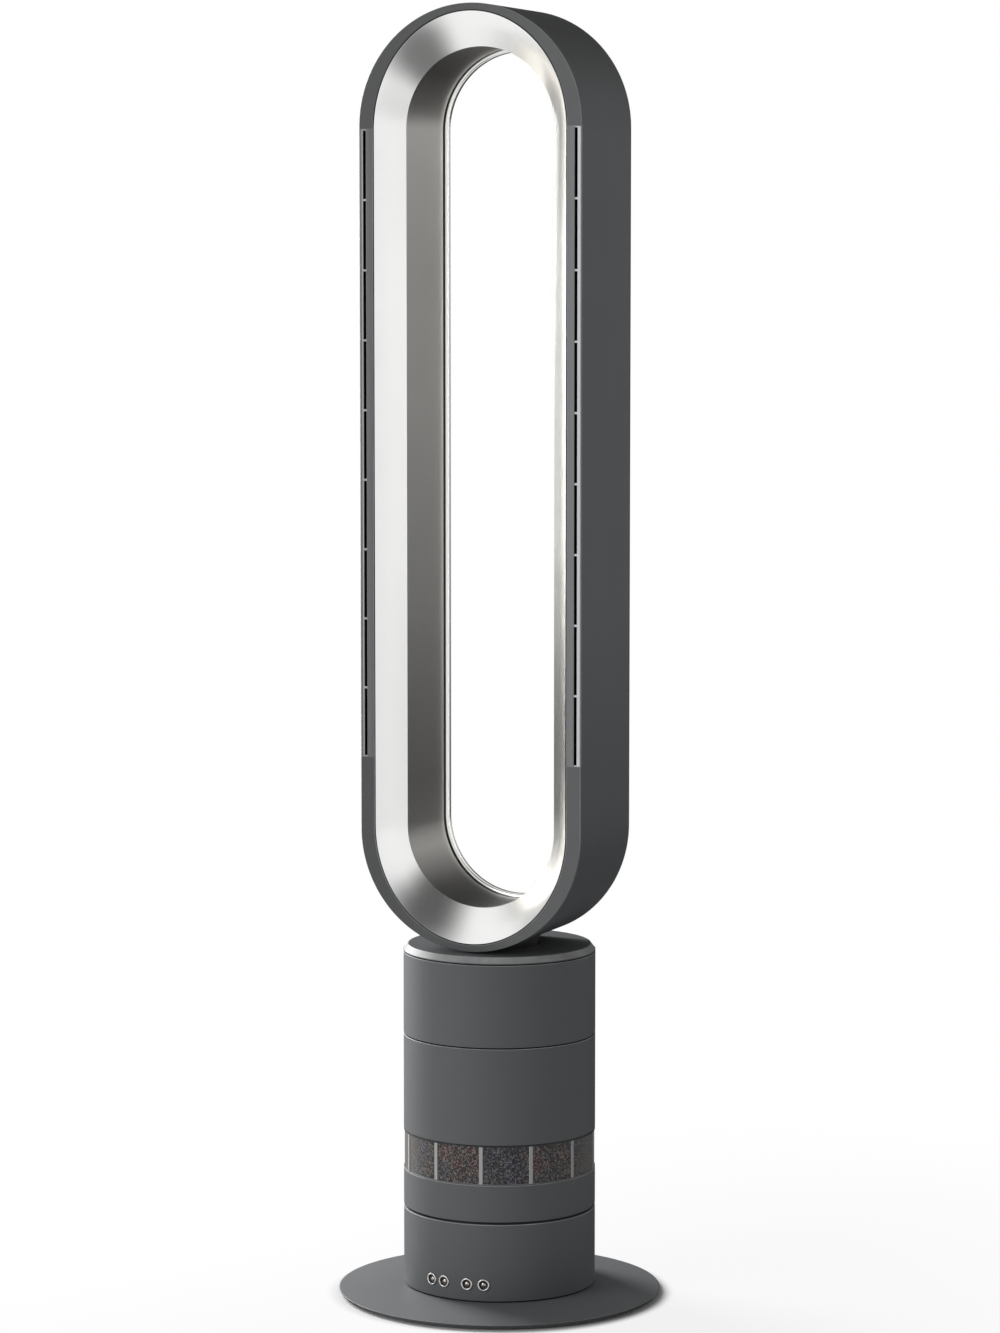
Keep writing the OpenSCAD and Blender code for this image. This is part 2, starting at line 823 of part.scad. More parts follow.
module spindle_nut() {
    color(steel) translate([0, 0, nut_top - nut_h]) ring(nut_r, spindle_r + fit, nut_h);
}

module sector_pegs(r, h) {
    for (a = [peg_end_a - sector_half, 0, sector_half - peg_end_a]) rotate([0, 0, a])
        translate([ring_r + dedendum + sector_wall / 2, 0, plate_z - fit]) cylinder(r = r, h = h + fit);
}

module gear_sector() {
    space = PI * gear_module / 2 + backlash;
    lo = ring_r - addendum;
    reach = floor(sector_half * ring_teeth / 360);
    color(pale) {
        translate([0, 0, plate_z - sector_h]) linear_extrude(sector_h) difference() {
            intersection() {
                difference() {
                    circle(r = sector_r, $fn = 180);
                    circle(r = lo, $fn = 180);
                }
                polygon([[0, 0], [foot_d * cos(sector_half), -foot_d * sin(sector_half)], [foot_d, 0],
                    [foot_d * cos(sector_half), foot_d * sin(sector_half)]]);
            }
            for (i = [-reach : reach])
                rotate(360 * i / ring_teeth) polygon(tooth(ring_r, space, lo - dedendum, ring_r + dedendum));
        }
        sector_pegs(peg_r, peg_h);
    }
}

module turntable_screws() {
    color(steel) around(4, turn_screw_r) translate([0, 0, z_collar + collar_flange_t])
        hanging_screw(screw_r, screw_head_r, deck_head_h, collar_flange_t + turn_rise + plate_t - over);
}

module lower_collar() {
    color(slate) difference() {
        union() {
            housing(z_collar, collar_h, seam_cut, seam_cut);
            translate([0, 0, z_collar]) ring(in_r + fit, in_r - collar_flange_w, collar_flange_t);
            around(4, pillar_at_r, 45)
                translate([0, 0, z_collar]) cylinder(r = pillar_r, h = z_mid - z_collar);
        }
        around(4, turn_screw_r) translate([0, 0, z_collar - over])
            cylinder(r = screw_hole_r, h = collar_flange_t + 2 * over);
        around(4, pillar_at_r, 45) translate([0, 0, z_mid - ledge_screw_d])
            cylinder(r = ledge_screw_r + fit, h = ledge_screw_d + over);
    }
}

module driver_board() {
    color(board_green) board(driver_w, driver_l, driver_z);
}

module driver_parts() {
    color(steel) translate([0, 0, driver_z + board_t]) {
        translate([-sink_w / 2, standoff_r, 0]) cube([sink_w, sink_l, sink_h]);
        translate([-can_r - standoff_r, -can_r - standoff_r, 0]) cylinder(r = can_r, h = can_h);
        translate([can_r + standoff_r, -can_r - standoff_r, 0]) cylinder(r = can_r, h = can_h);
    }
}

module driver_screws() {
    color(steel) board_fixings(driver_w, driver_l, driver_z, driver_rise - over);
}

// The dividers' plan, wider by grow on each side
module dividers(grow, z, h) {
    around(panel_n, 0, divider_at) translate([in_r - band_depth, -divider_w / 2 - grow, z])
        cube([band_depth + wall + over, divider_w + 2 * grow, h]);
}

module intake_grille() {
    color(pale) {
        translate([0, 0, z_intake]) ring(band_out_r, body_r - band_depth, band_ring_h);
        translate([0, 0, z_mid - band_ring_h]) ring(band_out_r, body_r - band_depth, band_ring_h);
        intersection() {
            translate([0, 0, z_intake]) ring(band_out_r, body_r - band_depth, intake_h);
            dividers(0, z_intake, intake_h);
        }
    }
}

module intake_mesh() {
    low = z_intake + band_ring_h;
    high = z_mid - band_ring_h;
    step = 360 / panel_n / (slit_n + 1);
    color(dark) difference() {
        translate([0, 0, low]) ring(mesh_r, mesh_r - mesh_t, high - low);
        dividers(fit, low - over, high - low + 2 * over);
        for (p = [0 : panel_n - 1], s = [1 : slit_n])
            rotate([0, 0, divider_at + 360 * p / panel_n + step * s])
                translate([mesh_r - 2 * mesh_t, -slit_w / 2, low + slit_margin])
                    cube([3 * mesh_t, slit_w, high - low - 2 * slit_margin]);
    }
}

module mid_housing() {
    color(slate) difference() {
        union() {
            housing(z_mid, mid_h, seam_cut, seam_cut);
            translate([0, 0, z_mid]) ring(in_r + fit, in_r - ledge_w, ledge_t);
            translate([0, 0, z_upper - house_spigot_h])
                ring(spigot_r, spigot_r - spigot_t, 2 * house_spigot_h);
            translate([0, 0, z_upper - house_spigot_h])
                ring(in_r + fit, spigot_r - spigot_t, house_spigot_h - fit);
        }
        around(4, pillar_at_r, 45) translate([0, 0, z_mid - over])
            cylinder(r = ledge_screw_r + clear, h = ledge_t + 2 * over);
    }
}

module ledge_screws() {
    color(steel) around(4, pillar_at_r, 45) translate([0, 0, z_mid + ledge_t])
        hanging_screw(ledge_screw_r, screw_head_r, deck_head_h, ledge_t + ledge_screw_d - over);
}

module rubber_mounts() {
    color(rubber_black) around(4, mount_at_r) translate([0, 0, z_mid + ledge_t])
        cylinder(r = mount_r, h = mount_h);
}

module impeller_shroud() {
    top_r = diffuser_r;
    color(dark) rotate_extrude($fn = 96) polygon([
        [throat_r + bell_w, shroud_z],
        [shroud_flange_r, shroud_z],
        [shroud_flange_r, shroud_z + shroud_flange_t],
        [throat_r + bell_w + duct_t, shroud_z + shroud_flange_t],
        [throat_r + duct_t, throat_z],
        [top_r + duct_t, diffuser_z],
        [top_r, diffuser_z],
        [throat_r, throat_z]
    ]);
}

// Inside radius of the shroud at height z
function shroud_at(z) = throat_r + (diffuser_r - throat_r) * (z - throat_z) / (diffuser_z - throat_z);

module impeller() {
    blade_z = impeller_z + blade_low;
    blade_top = impeller_top - back_t + fit;
    color(pale) {
        difference() {
            rotate_extrude() polygon([[0, impeller_z], [nose_r, impeller_z], [back_r, impeller_top - back_t],
                [back_r, impeller_top], [0, impeller_top]]);
            translate([0, 0, impeller_z - over])
                cylinder(r = shaft_r + fit, h = impeller_top - impeller_z + 2 * over);
        }
        intersection() {
            translate([0, 0, blade_z]) linear_extrude(blade_top - blade_z)
                for (i = [0 : blade_n - 1]) rotate(360 * i / blade_n) intersection() {
                    translate([0, blade_arc_r]) difference() {
                        circle(r = blade_arc_r + blade_t / 2);
                        circle(r = blade_arc_r - blade_t / 2);
                    }
                    translate([nose_r - over, -over]) square([foot_r, foot_r]);
                }
            rotate_extrude() polygon([
                [nose_r, blade_z],
                [shroud_at(blade_z) - tip_gap, blade_z],
                [shroud_at(blade_top) - tip_gap, blade_top],
                [back_r - over, blade_top]
            ]);
        }
    }
}

module impeller_shaft() {
    color(steel) translate([0, 0, impeller_z - over])
        cylinder(r = shaft_r, h = motor_top - impeller_z + 2 * over);
}

module diffuser() {
    color(dark) difference() {
        union() {
            translate([0, 0, diffuser_z]) ring(diffuser_r + duct_t, diffuser_r, diffuser_h);
            translate([0, 0, cup_z]) cylinder(r = cup_r + hub_wall, h = diffuser_top - cup_z);
            around(vane_n, cup_r + hub_wall - fit) translate([0, -vane_t / 2, diffuser_z + vane_end])
                cube([diffuser_r - cup_r - hub_wall + 2 * fit, vane_t, diffuser_h - 2 * vane_end]);
        }
        translate([0, 0, motor_z]) cylinder(r = cup_r, h = diffuser_h);
        translate([0, 0, cup_z - over]) cylinder(r = motor_hole_r, h = hub_wall + 2 * over);
    }
}

module motor_sleeve() {
    color(rubber_black) translate([0, 0, motor_z]) ring(sleeve_r, fan_motor_r + fit, motor_h);
}

module fan_motor() {
    color(steel) translate([0, 0, motor_z]) difference() {
        cylinder(r = fan_motor_r, h = motor_h);
        translate([0, 0, -over]) cylinder(r = motor_bore_r, h = motor_h + 2 * over);
        translate([0, 0, -over]) cylinder(r = bearing_r + fit, h = bearing_h + over);
        translate([0, 0, motor_h - bearing_h]) cylinder(r = bearing_r + fit, h = bearing_h + over);
    }
}

module motor_bearings() {
    color(silver) for (z = [motor_z, motor_top - bearing_h])
        translate([0, 0, z]) ring(bearing_r, shaft_r + fit, bearing_h);
}

module motor_cap() {
    skin_r = cup_r + hub_wall;
    inside = (tail_h - duct_t) * (skin_r - duct_t - press_r - press_w) / (skin_r - tail_r);
    color(dark) {
        rotate_extrude() polygon([
            [skin_r - duct_t, diffuser_top],
            [skin_r, diffuser_top],
            [tail_r, diffuser_top + tail_h],
            [0, diffuser_top + tail_h + tail_nose],
            [0, diffuser_top + tail_h],
            [tail_r - duct_t, diffuser_top + tail_h - duct_t]
        ]);
        translate([0, 0, motor_top])
            ring(press_r + press_w, press_r, diffuser_top - motor_top + inside + press_w / 2);
    }
}

module outlet_duct() {
    top = neck_z - seal_t;
    color(dark) rotate_extrude($fn = 96) polygon([
        [diffuser_r, diffuser_top],
        [diffuser_r + duct_t, diffuser_top],
        [diffuser_r + duct_t, diffuser_top + bell_h],
        [neck_r + duct_t, top - bell_h],
        [neck_r + duct_t, top],
        [neck_in_r, top],
        [neck_in_r, top - bell_h],
        [diffuser_r, diffuser_top + bell_h]
    ]);
}

module upper_housing() {
    color(slate) housing(z_upper, upper_h, seam_cut, seam_cut);
}

module top_cap() {
    hole_r = neck_r + clear;
    color(slate) rotate_extrude($fn = 128) polygon([
        [hole_r, z_top],
        [body_r - cap_bevel, z_top],
        [body_r, z_cap + cap_edge],
        [body_r, z_cap + seam_cut],
        [body_r - seam_cut, z_cap],
        [spigot_r, z_cap],
        [spigot_r, z_cap - house_spigot_h],
        [spigot_r - spigot_t, z_cap - house_spigot_h],
        [spigot_r - spigot_t, z_top - cap_t],
        [hole_r, z_top - cap_t]
    ]);
}

module loop_solid(inset) {
    deep(y_front - over, y_back + over) stadium_plan(loop_w - 2 * inset, loop_h - 2 * inset);
}

module neck() {
    flange_z = z_top - cap_t - neck_flange_t;
    color(dark) difference() {
        union() {
            translate([0, 0, neck_z]) cylinder(r = neck_r, h = z_loop + saddle_over - neck_z);
            translate([0, 0, flange_z]) cylinder(r = neck_r + neck_flange_w, h = neck_flange_t);
        }
        translate([0, 0, neck_z - over]) cylinder(r = neck_in_r, h = z_loop);
        loop_solid(0);
        around(4, neck_screw_at, 45) translate([0, 0, z_loop - neck_screw_d])
            cylinder(r = neck_screw_r + fit, h = neck_screw_d + saddle_over);
    }
}

module neck_seal() {
    color(rubber_black) translate([0, 0, neck_z - seal_t]) ring(neck_r, neck_r - seal_w + fit, seal_t);
}

module loop_spigot() {
    flange_r = loop_spigot_r + spigot_flange_w;
    color(dark) difference() {
        union() {
            difference() {
                intersection() {
                    union() {
                        translate([0, 0, neck_z + over])
                            cylinder(r = loop_spigot_r, h = z_loop + spigot_up - neck_z);
                        intersection() {
                            translate([0, 0, z_loop]) cylinder(r = flange_r, h = spigot_up);
                            loop_solid(loop_wall);
                        }
                    }
                    cylinder(r = flange_r, h = z_loop + spigot_up);
                }
                loop_solid(loop_wall + spigot_t);
            }
            intersection() {
                around(4, neck_screw_at, 45) translate([0, 0, z_loop]) cylinder(r = pad_r, h = saddle_h);
                loop_solid(loop_wall);
            }
        }
        translate([0, 0, neck_z]) cylinder(r = loop_spigot_r - spigot_wall, h = z_loop);
        around(4, neck_screw_at, 45)
            translate([0, 0, z_loop]) cylinder(r = neck_screw_r + fit, h = spigot_up);
    }
}

module loop_screws() {
    color(steel) around(4, neck_screw_at, 45) translate([0, 0, z_loop + saddle_h])
        hanging_screw(neck_screw_r, neck_head_r, neck_head_h, saddle_h + neck_screw_d - over);
}

module loop_casing() {
    color(slate) difference() {
        deep(y_front + loop_wall, y_back - loop_wall) difference() {
            stadium_plan(loop_w, loop_h);
            stadium_plan(loop_w - 2 * loop_wall, loop_h - 2 * loop_wall);
        }
        translate([0, 0, z_loop - over]) cylinder(r = loop_spigot_r + clear, h = 2 * spigot_up);
        around(4, neck_screw_at, 45) translate([0, 0, z_loop - over])
            cylinder(r = neck_screw_r + fit, h = 2 * spigot_up);
    }
}

module rear_cover() {
    open_w = tunnel_w + tunnel_flare + 2 * liner_t;
    open_h = tunnel_h + tunnel_rise + 2 * liner_t;
    color(slate) deep(y_back - loop_wall, y_back) difference() {
        stadium_plan(loop_w, loop_h);
        stadium_plan(open_w + 2 * seat_gap, open_h + 2 * seat_gap);
    }
}

module ring_joints() {
    for (end = [-1, 1]) translate([0, 0, z_loop_mid + end * ring_joint_rise])
        cube([loop_w, 2 * loop_d, ring_joint], center = true);
}

module rear_lip() {
    open_w = tunnel_w + tunnel_flare;
    open_h = tunnel_h + tunnel_rise;
    color(silver) difference() {
        deep(y_lip, y_back) difference() {
            stadium_plan(open_w + 2 * liner_t, open_h + 2 * liner_t);
            stadium_plan(open_w - 2 * lip_w, open_h - 2 * lip_w);
        }
        ring_joints();
    }
}

module trim_window(grow) {
    for (x = [-1, 1]) translate([x * (trim_x + trim_w / 2), slot_rise])
        square([trim_w + 2 * grow, slot_row + 2 * trim_lip_w + 2 * grow], center = true);
}

module front_rim() {
    color(slate) deep(y_front, y_front + loop_wall) difference() {
        stadium_plan(loop_w, loop_h);
        polygon(obround(cone_w + 2 * rim_open, cone_front_h + 2 * rim_open, cone_end + rim_open));
        trim_window(fit);
    }
}

module slot_row_plan(grow) {
    for (x = [-1, 1], i = [0 : slot_n - 1])
        translate([x * (slot_x + slot_w / 2), slot_rise + (i - (slot_n - 1) / 2) * slot_pitch])
            square([slot_w + 2 * grow, slot_pitch - bridge_h + 2 * grow], center = true);
}

module slot_trims() {
    color(pale) {
        deep(y_front, y_front + loop_wall) difference() {
            trim_window(0);
            slot_row_plan(0);
        }
        deep(y_front + loop_wall - fit, y_front + nozzle_d) difference() {
            for (x = [-1, 1]) translate([x * (slot_x + slot_w / 2), slot_rise])
                square([slot_w + 2 * nozzle_t, slot_row + 2 * nozzle_t], center = true);
            slot_row_plan(0);
        }
    }
}

module silver_cone() {
    out_w = cone_w + 2 * liner_t;
    out_h = cone_front_h + 2 * liner_t;
    edge_w = cone_w + 2 * cone_edge;
    edge_h = cone_front_h + 2 * cone_edge;
    color(silver) difference() {
        union() {
            intersection() {
                flare(out_w, out_h, cone_end + liner_t, y_front,
                    tunnel_w + 2 * liner_t, tunnel_h + 2 * liner_t, tunnel_w / 2 + liner_t, y_cone);
                deep(y_front, y_cone) polygon(obround(edge_w, edge_h, cone_end + cone_edge));
            }
            deep(y_front + loop_wall, y_front + loop_wall + cone_flange_t)
                polygon(obround(cone_w + 2 * cone_flange_w, cone_front_h + 2 * over, cone_end + over));
        }
        flare(cone_w, cone_front_h, cone_end, y_front - fit, tunnel_w, tunnel_h, tunnel_w / 2, y_cone + fit);
        ring_joints();
    }
}

module tunnel_liner() {
    back_w = tunnel_w + tunnel_flare;
    back_h = tunnel_h + tunnel_rise;
    color(silver) difference() {
        flare(tunnel_w + 2 * liner_t, tunnel_h + 2 * liner_t, tunnel_w / 2 + liner_t, y_cone,
            back_w + 2 * liner_t, back_h + 2 * liner_t, back_w / 2 + liner_t, y_lip);
        flare(tunnel_w, tunnel_h, tunnel_w / 2, y_cone - fit, back_w, back_h, back_w / 2, y_lip + fit);
    }
}

module duct_ribs() {
    out_x = loop_w / 2 - loop_wall - seat_gap;
    color(dark) for (x = [0, 1], i = [0 : rib_n - 1]) mirror([x, 0, 0])
        translate([rib_x, rib_y, z_loop_mid + (i - (rib_n - 1) / 2) * rib_pitch - rib_l / 2])
            cube([out_x - rib_x, rib_plate_t, rib_l]);
}

rubber_feet();
underside_cover();
ballast_plate();
foot_disc();
lower_housing();
base_screws();
button_bezels();
switch_board();
tact_switches();
control_board();
board_parts();
board_screws();
cord_grommet();
swing_deck();
deck_screws();
swing_motor();
motor_screws();
slide_ring();
power_button();
slower_button();
faster_button();
swing_button();
drive_pinion();
pinion_shaft();
turntable();
spindle_nut();
gear_sector();
turntable_screws();
lower_collar();
driver_board();
driver_parts();
driver_screws();
intake_grille();
intake_mesh();
mid_housing();
ledge_screws();
rubber_mounts();
impeller_shroud();
diffuser();
motor_sleeve();
fan_motor();
motor_bearings();
motor_cap();
outlet_duct();
upper_housing();
top_cap();
neck();
neck_seal();
impeller();
impeller_shaft();
loop_casing();
rear_cover();
front_rim();
silver_cone();
tunnel_liner();
rear_lip();
slot_trims();
duct_ribs();
loop_spigot();
loop_screws();
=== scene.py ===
"""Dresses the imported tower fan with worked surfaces, finishes, a camera and soft studio light."""
import json
import math

import bmesh
import bpy
import numpy as np
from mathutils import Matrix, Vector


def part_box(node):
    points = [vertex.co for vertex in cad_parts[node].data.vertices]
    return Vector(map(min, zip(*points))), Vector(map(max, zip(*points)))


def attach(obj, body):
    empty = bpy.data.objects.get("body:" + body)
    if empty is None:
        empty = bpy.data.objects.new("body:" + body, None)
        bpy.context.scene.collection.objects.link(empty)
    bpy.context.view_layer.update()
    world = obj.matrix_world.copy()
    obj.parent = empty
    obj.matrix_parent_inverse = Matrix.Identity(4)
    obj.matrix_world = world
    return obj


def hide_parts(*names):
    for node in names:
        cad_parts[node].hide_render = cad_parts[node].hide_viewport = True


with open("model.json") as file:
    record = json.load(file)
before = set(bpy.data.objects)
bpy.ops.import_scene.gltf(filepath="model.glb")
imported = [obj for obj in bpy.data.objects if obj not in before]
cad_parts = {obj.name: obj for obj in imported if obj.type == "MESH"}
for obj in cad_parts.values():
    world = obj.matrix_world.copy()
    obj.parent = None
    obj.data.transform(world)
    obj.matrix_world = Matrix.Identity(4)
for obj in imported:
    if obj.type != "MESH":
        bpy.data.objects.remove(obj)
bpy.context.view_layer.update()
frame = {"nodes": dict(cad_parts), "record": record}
MM = 0.001


def span(node):
    """Lowest and highest corner of a CAD node, in millimetres."""
    low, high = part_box(node)
    return np.array(low) / MM, np.array(high) / MM


# Levels and sizes that the frame gives, in millimetres
FOOT_R = span("foot_disc")[1][0]
LOWER_LOW, LOWER_HIGH = span("lower_housing")
COLLAR_LOW = span("lower_collar")[0]
BAND_LOW, BAND_HIGH = span("intake_grille")
UPPER_LOW, UPPER_HIGH = span("upper_housing")
CAP_HIGH = span("top_cap")[1]
LOOP_LOW, LOOP_HIGH = span("loop_casing")
Y_FRONT = span("front_rim")[0][1]
Y_BACK = span("rear_cover")[1][1]
BODY_R = LOWER_HIGH[0]
FOOT_TOP = LOWER_LOW[2]
LOOP_W = LOOP_HIGH[0] - LOOP_LOW[0]
LOOP_H = LOOP_HIGH[2] - LOOP_LOW[2]
LOOP_Z = (LOOP_HIGH[2] + LOOP_LOW[2]) / 2

# Sizes of the air loop, in millimetres
LOOP_WALL = 2.4
RIM_SIDE_W = 11.9
RIM_END_W = 5.55
CONE_END_MORE = 9.0
CONE_SIDE_W = 18.2
CONE_END_W = 25.9
CONE_D = 20.8
RIM_GAP = 0.35
CONE_IN = 0.75
GROOVE = 2.8
LINER_T = 2.0
TUNNEL_FLARE = 3.6
TUNNEL_RISE = 5.7
LIP_W = 3.1
LIP_D = 5.75
SLOT_N = 9
SLOT_W = 2.5
BRIDGE_H = 1.6
SLOTS_HIGH_GAP = 2.85
SLOTS_LOW_GAP = 56.85
TRIM_IN = 0.6
TRIM_OUT_W = 2.5
TRIM_LIP_W = 0.8
NOZZLE_D = 9.0
NOZZLE_T = 0.6
FIT = 0.05

CONE_W = LOOP_W - 2 * RIM_SIDE_W
CONE_H = LOOP_H - 2 * RIM_END_W
CONE_E = CONE_W / 2 + CONE_END_MORE
TUNNEL_W = CONE_W - 2 * CONE_SIDE_W
TUNNEL_H = CONE_H - 2 * CONE_END_W
BACK_W = TUNNEL_W + TUNNEL_FLARE
BACK_H = TUNNEL_H + TUNNEL_RISE
Y_CONE = Y_FRONT + CONE_D
Y_LIP = Y_BACK - LIP_D
TRIM_W = TRIM_OUT_W + SLOT_W + TRIM_LIP_W
TRIM_X = LOOP_W / 2 - TRIM_IN - TRIM_W
SLOT_X = TRIM_X + TRIM_LIP_W
SLOT_ROW = LOOP_H - LOOP_W - SLOTS_HIGH_GAP - SLOTS_LOW_GAP
SLOT_PITCH = (SLOT_ROW + BRIDGE_H) / SLOT_N
SLOT_RISE = (SLOTS_LOW_GAP - SLOTS_HIGH_GAP) / 2

# Sizes of the body, in millimetres
WALL = 2.5
SEAM_ROUND = 0.45
SEAM_GAP = 1.0
CAP_BEVEL = 3.6
CAP_EDGE = 1.2
NECK_R = 32.0
NECK_WALL = 5.0
BUTTON_Z = 22.5
BUTTON_R = 3.3
BEZEL_R = 4.75
BEZEL_PROUD = 0.9
BUTTONS_AT = {"power": -21.0, "slower": -11.7, "faster": 3.4, "swing": 13.6}
GLAND_Z = 21.0
GLAND_R = 6.5
GLAND_PROUD = 1.8
CORD_R = 3.5
PANEL_N = 12
DIVIDER_AT = 12.0
MESH_R = BODY_R - 0.7
DIVIDER_W = 3.0
BAND_RING_H = 1.0
BAND_DEPTH = 3.4
IN_R = BODY_R - WALL

# How far past an arc its edge mask ends, in millimetres, and how many steps the large round pieces have
EDGE_HOLD = 0.12
ROUND_STEPS = 256

# The weave's pitch in metres
WIRE_PITCH = 0.00115

# Painted shade and painted reflections: greys by height in metres, which a finish's colour is multiplied
# with.
# Painted reflections on the cone's right side and the tunnel's wall, painted shade on the loop's casing and
# on the foot's dark underside
CONE_RIGHT_PAINTED_REFLECTION = [(0.34, 1.0), (0.37, 0.52), (0.39, 0.33), (0.45, 0.31), (0.482, 0.4), (0.513, 0.57),
              (0.545, 0.72), (0.6, 1.0), (0.82, 1.0), (0.86, 0.7), (0.9, 0.62), (0.94, 0.8), (0.97, 1.0)]
TUNNEL_PAINTED_REFLECTION = [(0.312, 0.22), (0.322, 0.24), (0.332, 0.38), (0.35, 0.52), (0.367, 0.41), (0.405, 0.32),
                (0.467, 0.38), (0.543, 0.5), (0.62, 0.53), (0.7, 0.57), (0.8, 0.55), (0.873, 0.61),
                (0.935, 0.73), (0.95, 0.5), (0.965, 0.55)]
CASING_PAINTED_SHADE = [(0.3, 0.5), (0.35, 0.56), (0.39, 0.7), (0.47, 0.86), (0.55, 1.0), (0.9, 1.0), (0.938, 0.68),
                (0.958, 0.47), (0.98, 0.3), (1.0, 0.29)]
FOOT_PAINTED_SHADE = [(0.0036, 0.22), (0.0041, 1.0)]


def srgb(red, green, blue):
    """Linear colour of an sRGB triple that runs to 255."""
    c = np.array([red, green, blue]) / 255
    c = np.where(c <= 0.04045, c / 12.92, ((c + 0.055) / 1.055) ** 2.4)
    return (*c.tolist(), 1.0)


# Strength of the even light, and the direction of the unlit patch behind the object that gloss sees
AMBIENT = 0.31
BEHIND = (-0.1, 0.995, 0.0)
# Unlit corners of the studio as gloss sees them: direction, how dark, and the cosines of their outer and
# inner edge
CORNERS = (((0.38, -0.34, -0.86), 0.84, 0.84, 0.985), ((0.29, -0.43, 0.85), 0.92, 0.77, 0.985),
           ((0.42, -0.86, 0.28), 0.3, 0.93, 0.985), ((-0.37, 0.88, 0.3), 0.65, 0.93, 0.99))

# Surfaces


def rounded(corners, radii, steps=6):
    """Outline whose corners are arcs tangent to both sides. A corner turns by the angle between its sides,
    and the arc starts back along the first side by the radius times the tangent of half that angle. A point
    a little before and after each arc keeps its edge mask off the flats."""
    p = np.array(corners, float) @ np.array([1, 1j])
    come = p - np.roll(p, 1)
    come = come / np.abs(come)
    leave = np.roll(come, -1)
    turn = np.angle(leave / come)
    r = np.broadcast_to(np.array(radii, float), p.shape)
    side = 1j * np.sign(turn) * come * r
    centre = p - come * r * np.tan(np.abs(turn) / 2) + side
    share = np.linspace(0, 1, steps + 1)
    arc = centre[:, None] - side[:, None] * np.exp(1j * turn[:, None] * share)
    hold = EDGE_HOLD * (r > 0)
    before, after = arc[:, [0]] - (come * hold)[:, None], arc[:, [-1]] + (leave * hold)[:, None]
    arc = np.concatenate([before, arc, after], 1).ravel()
    arc = arc[np.abs(arc - np.roll(arc, 1)) > 1e-6]
    return np.stack([arc.real, arc.imag], 1)


def quads(n, m, wrap_n, wrap_m, keep=None):
    """Corners of the cells of an n by m grid of points, joined round where asked, less those not kept."""
    i = np.arange(n if wrap_n else n - 1)[:, None]
    j = np.arange(m if wrap_m else m - 1)[None, :]
    up, on = (i + 1) % n, (j + 1) % m
    faces = np.stack([i * m + j, up * m + j, up * m + on, i * m + on], -1)
    return faces[keep] if keep is not None else faces.reshape(-1, 4)


def torus(grid):
    """A grid of points that closes on itself both ways."""
    n, m = grid.shape[:2]
    return grid.reshape(-1, 3), quads(n, m, True, True)


def capped(rings):
    """Rings of points, joined one to the next, with each end closed by a fan to its middle."""
    n, m = rings.shape[:2]
    ends = rings[[0, -1]].mean(1)
    points = np.concatenate([rings.reshape(-1, 3), ends])
    j = np.arange(m)
    on = (j + 1) % m
    low = np.stack([j, on, np.full(m, n * m), np.full(m, n * m)], 1)
    high = np.stack([on, j, np.full(m, n * m + 1), np.full(m, n * m + 1)], 1)
    high[:, :2] += (n - 1) * m
    return points, np.concatenate([quads(n, m, False, True), low, high])


def cut_sheet(front, back, keep, wrap):
    """A sheet between two grids of points with cells left out. A wall joins the two wherever a kept cell
    has no kept neighbour."""
    n, m = front.shape[:2]
    count = n * m
    points = np.concatenate([front.reshape(-1, 3), back.reshape(-1, 3)])
    face = quads(n, m, wrap, False, keep)
    framed = np.pad(keep, 1)
    if wrap:
        framed[0, 1:-1], framed[-1, 1:-1] = keep[-1], keep[0]
    inner = framed[1:-1, 1:-1]
    cells = quads(n, m, wrap, False).reshape(*keep.shape, 4)
    walls = []
    for around, a, b in ((framed[:-2, 1:-1], 3, 0), (framed[2:, 1:-1], 1, 2),
                         (framed[1:-1, :-2], 0, 1), (framed[1:-1, 2:], 2, 3)):
        edge = cells[inner & ~around][:, [a, b]]
        walls.append(np.stack([edge[:, 0], edge[:, 0] + count, edge[:, 1] + count, edge[:, 1]], 1))
    return points, np.concatenate([face, face[:, ::-1] + count, *walls])


def turned(profile, steps, tube=True):
    """A profile of radius and height carried round the upright axis."""
    a = np.linspace(0, 2 * math.pi, steps, endpoint=False)
    r, z = np.array(profile, float).T
    level = np.broadcast_to(z, (steps, len(z)))
    grid = np.stack([np.outer(np.sin(a), r), np.outer(-np.cos(a), r), level], -1)
    return torus(grid) if tube else capped(grid.transpose(1, 0, 2))


def outward(shape, degrees, height):
    """Lays a shape's upright axis along the radius that many degrees from the front."""
    points, faces = shape
    a = math.radians(degrees)
    out = np.array([math.sin(a), -math.cos(a), 0])
    across = np.array([math.cos(a), math.sin(a), 0])
    up = np.array([0, 0, 1.0])
    return (points[:, [0]] * across + points[:, [1]] * up + points[:, [2]] * out + up * height), faces


def moved(shape, place):
    return shape[0] + np.array(place, float), shape[1]


# Rows along the loop's straight sides, and the directions that its ends face
ROW_TOP = SLOT_RISE + SLOT_ROW / 2 + TRIM_LIP_W
ROW_LOW = SLOT_RISE - SLOT_ROW / 2 - TRIM_LIP_W
ROWS = np.unique(np.round(np.concatenate([np.linspace(-ROW_TOP, ROW_TOP, 49), [ROW_LOW]]), 4))
TURNS = np.radians(np.linspace(2, 178, 89))


def obrounds(stations):
    """Outlines in X and Z, each with straight sides and half-elliptic ends, set at its depth in Y. A point of
    an end is where the outline faces a given direction, so that points of two outlines pair up squarely."""
    w, h, e, y = (np.array(v, float)[None, :] for v in np.array(stations, float).T)
    a = w / 2
    th = np.arctan2(e * np.sin(TURNS[:, None]), a * np.cos(TURNS[:, None]))
    x_end = a * np.cos(th)
    z_end = h / 2 - e + e * np.sin(th)
    side = np.broadcast_to(a, (len(ROWS), w.shape[1]))
    rows = np.broadcast_to(ROWS[:, None], side.shape)
    x = np.concatenate([side, x_end, -side, -x_end])
    z = np.concatenate([rows, z_end, rows[::-1], -z_end])
    return np.stack([x, np.broadcast_to(y, x.shape), z + LOOP_Z], -1)


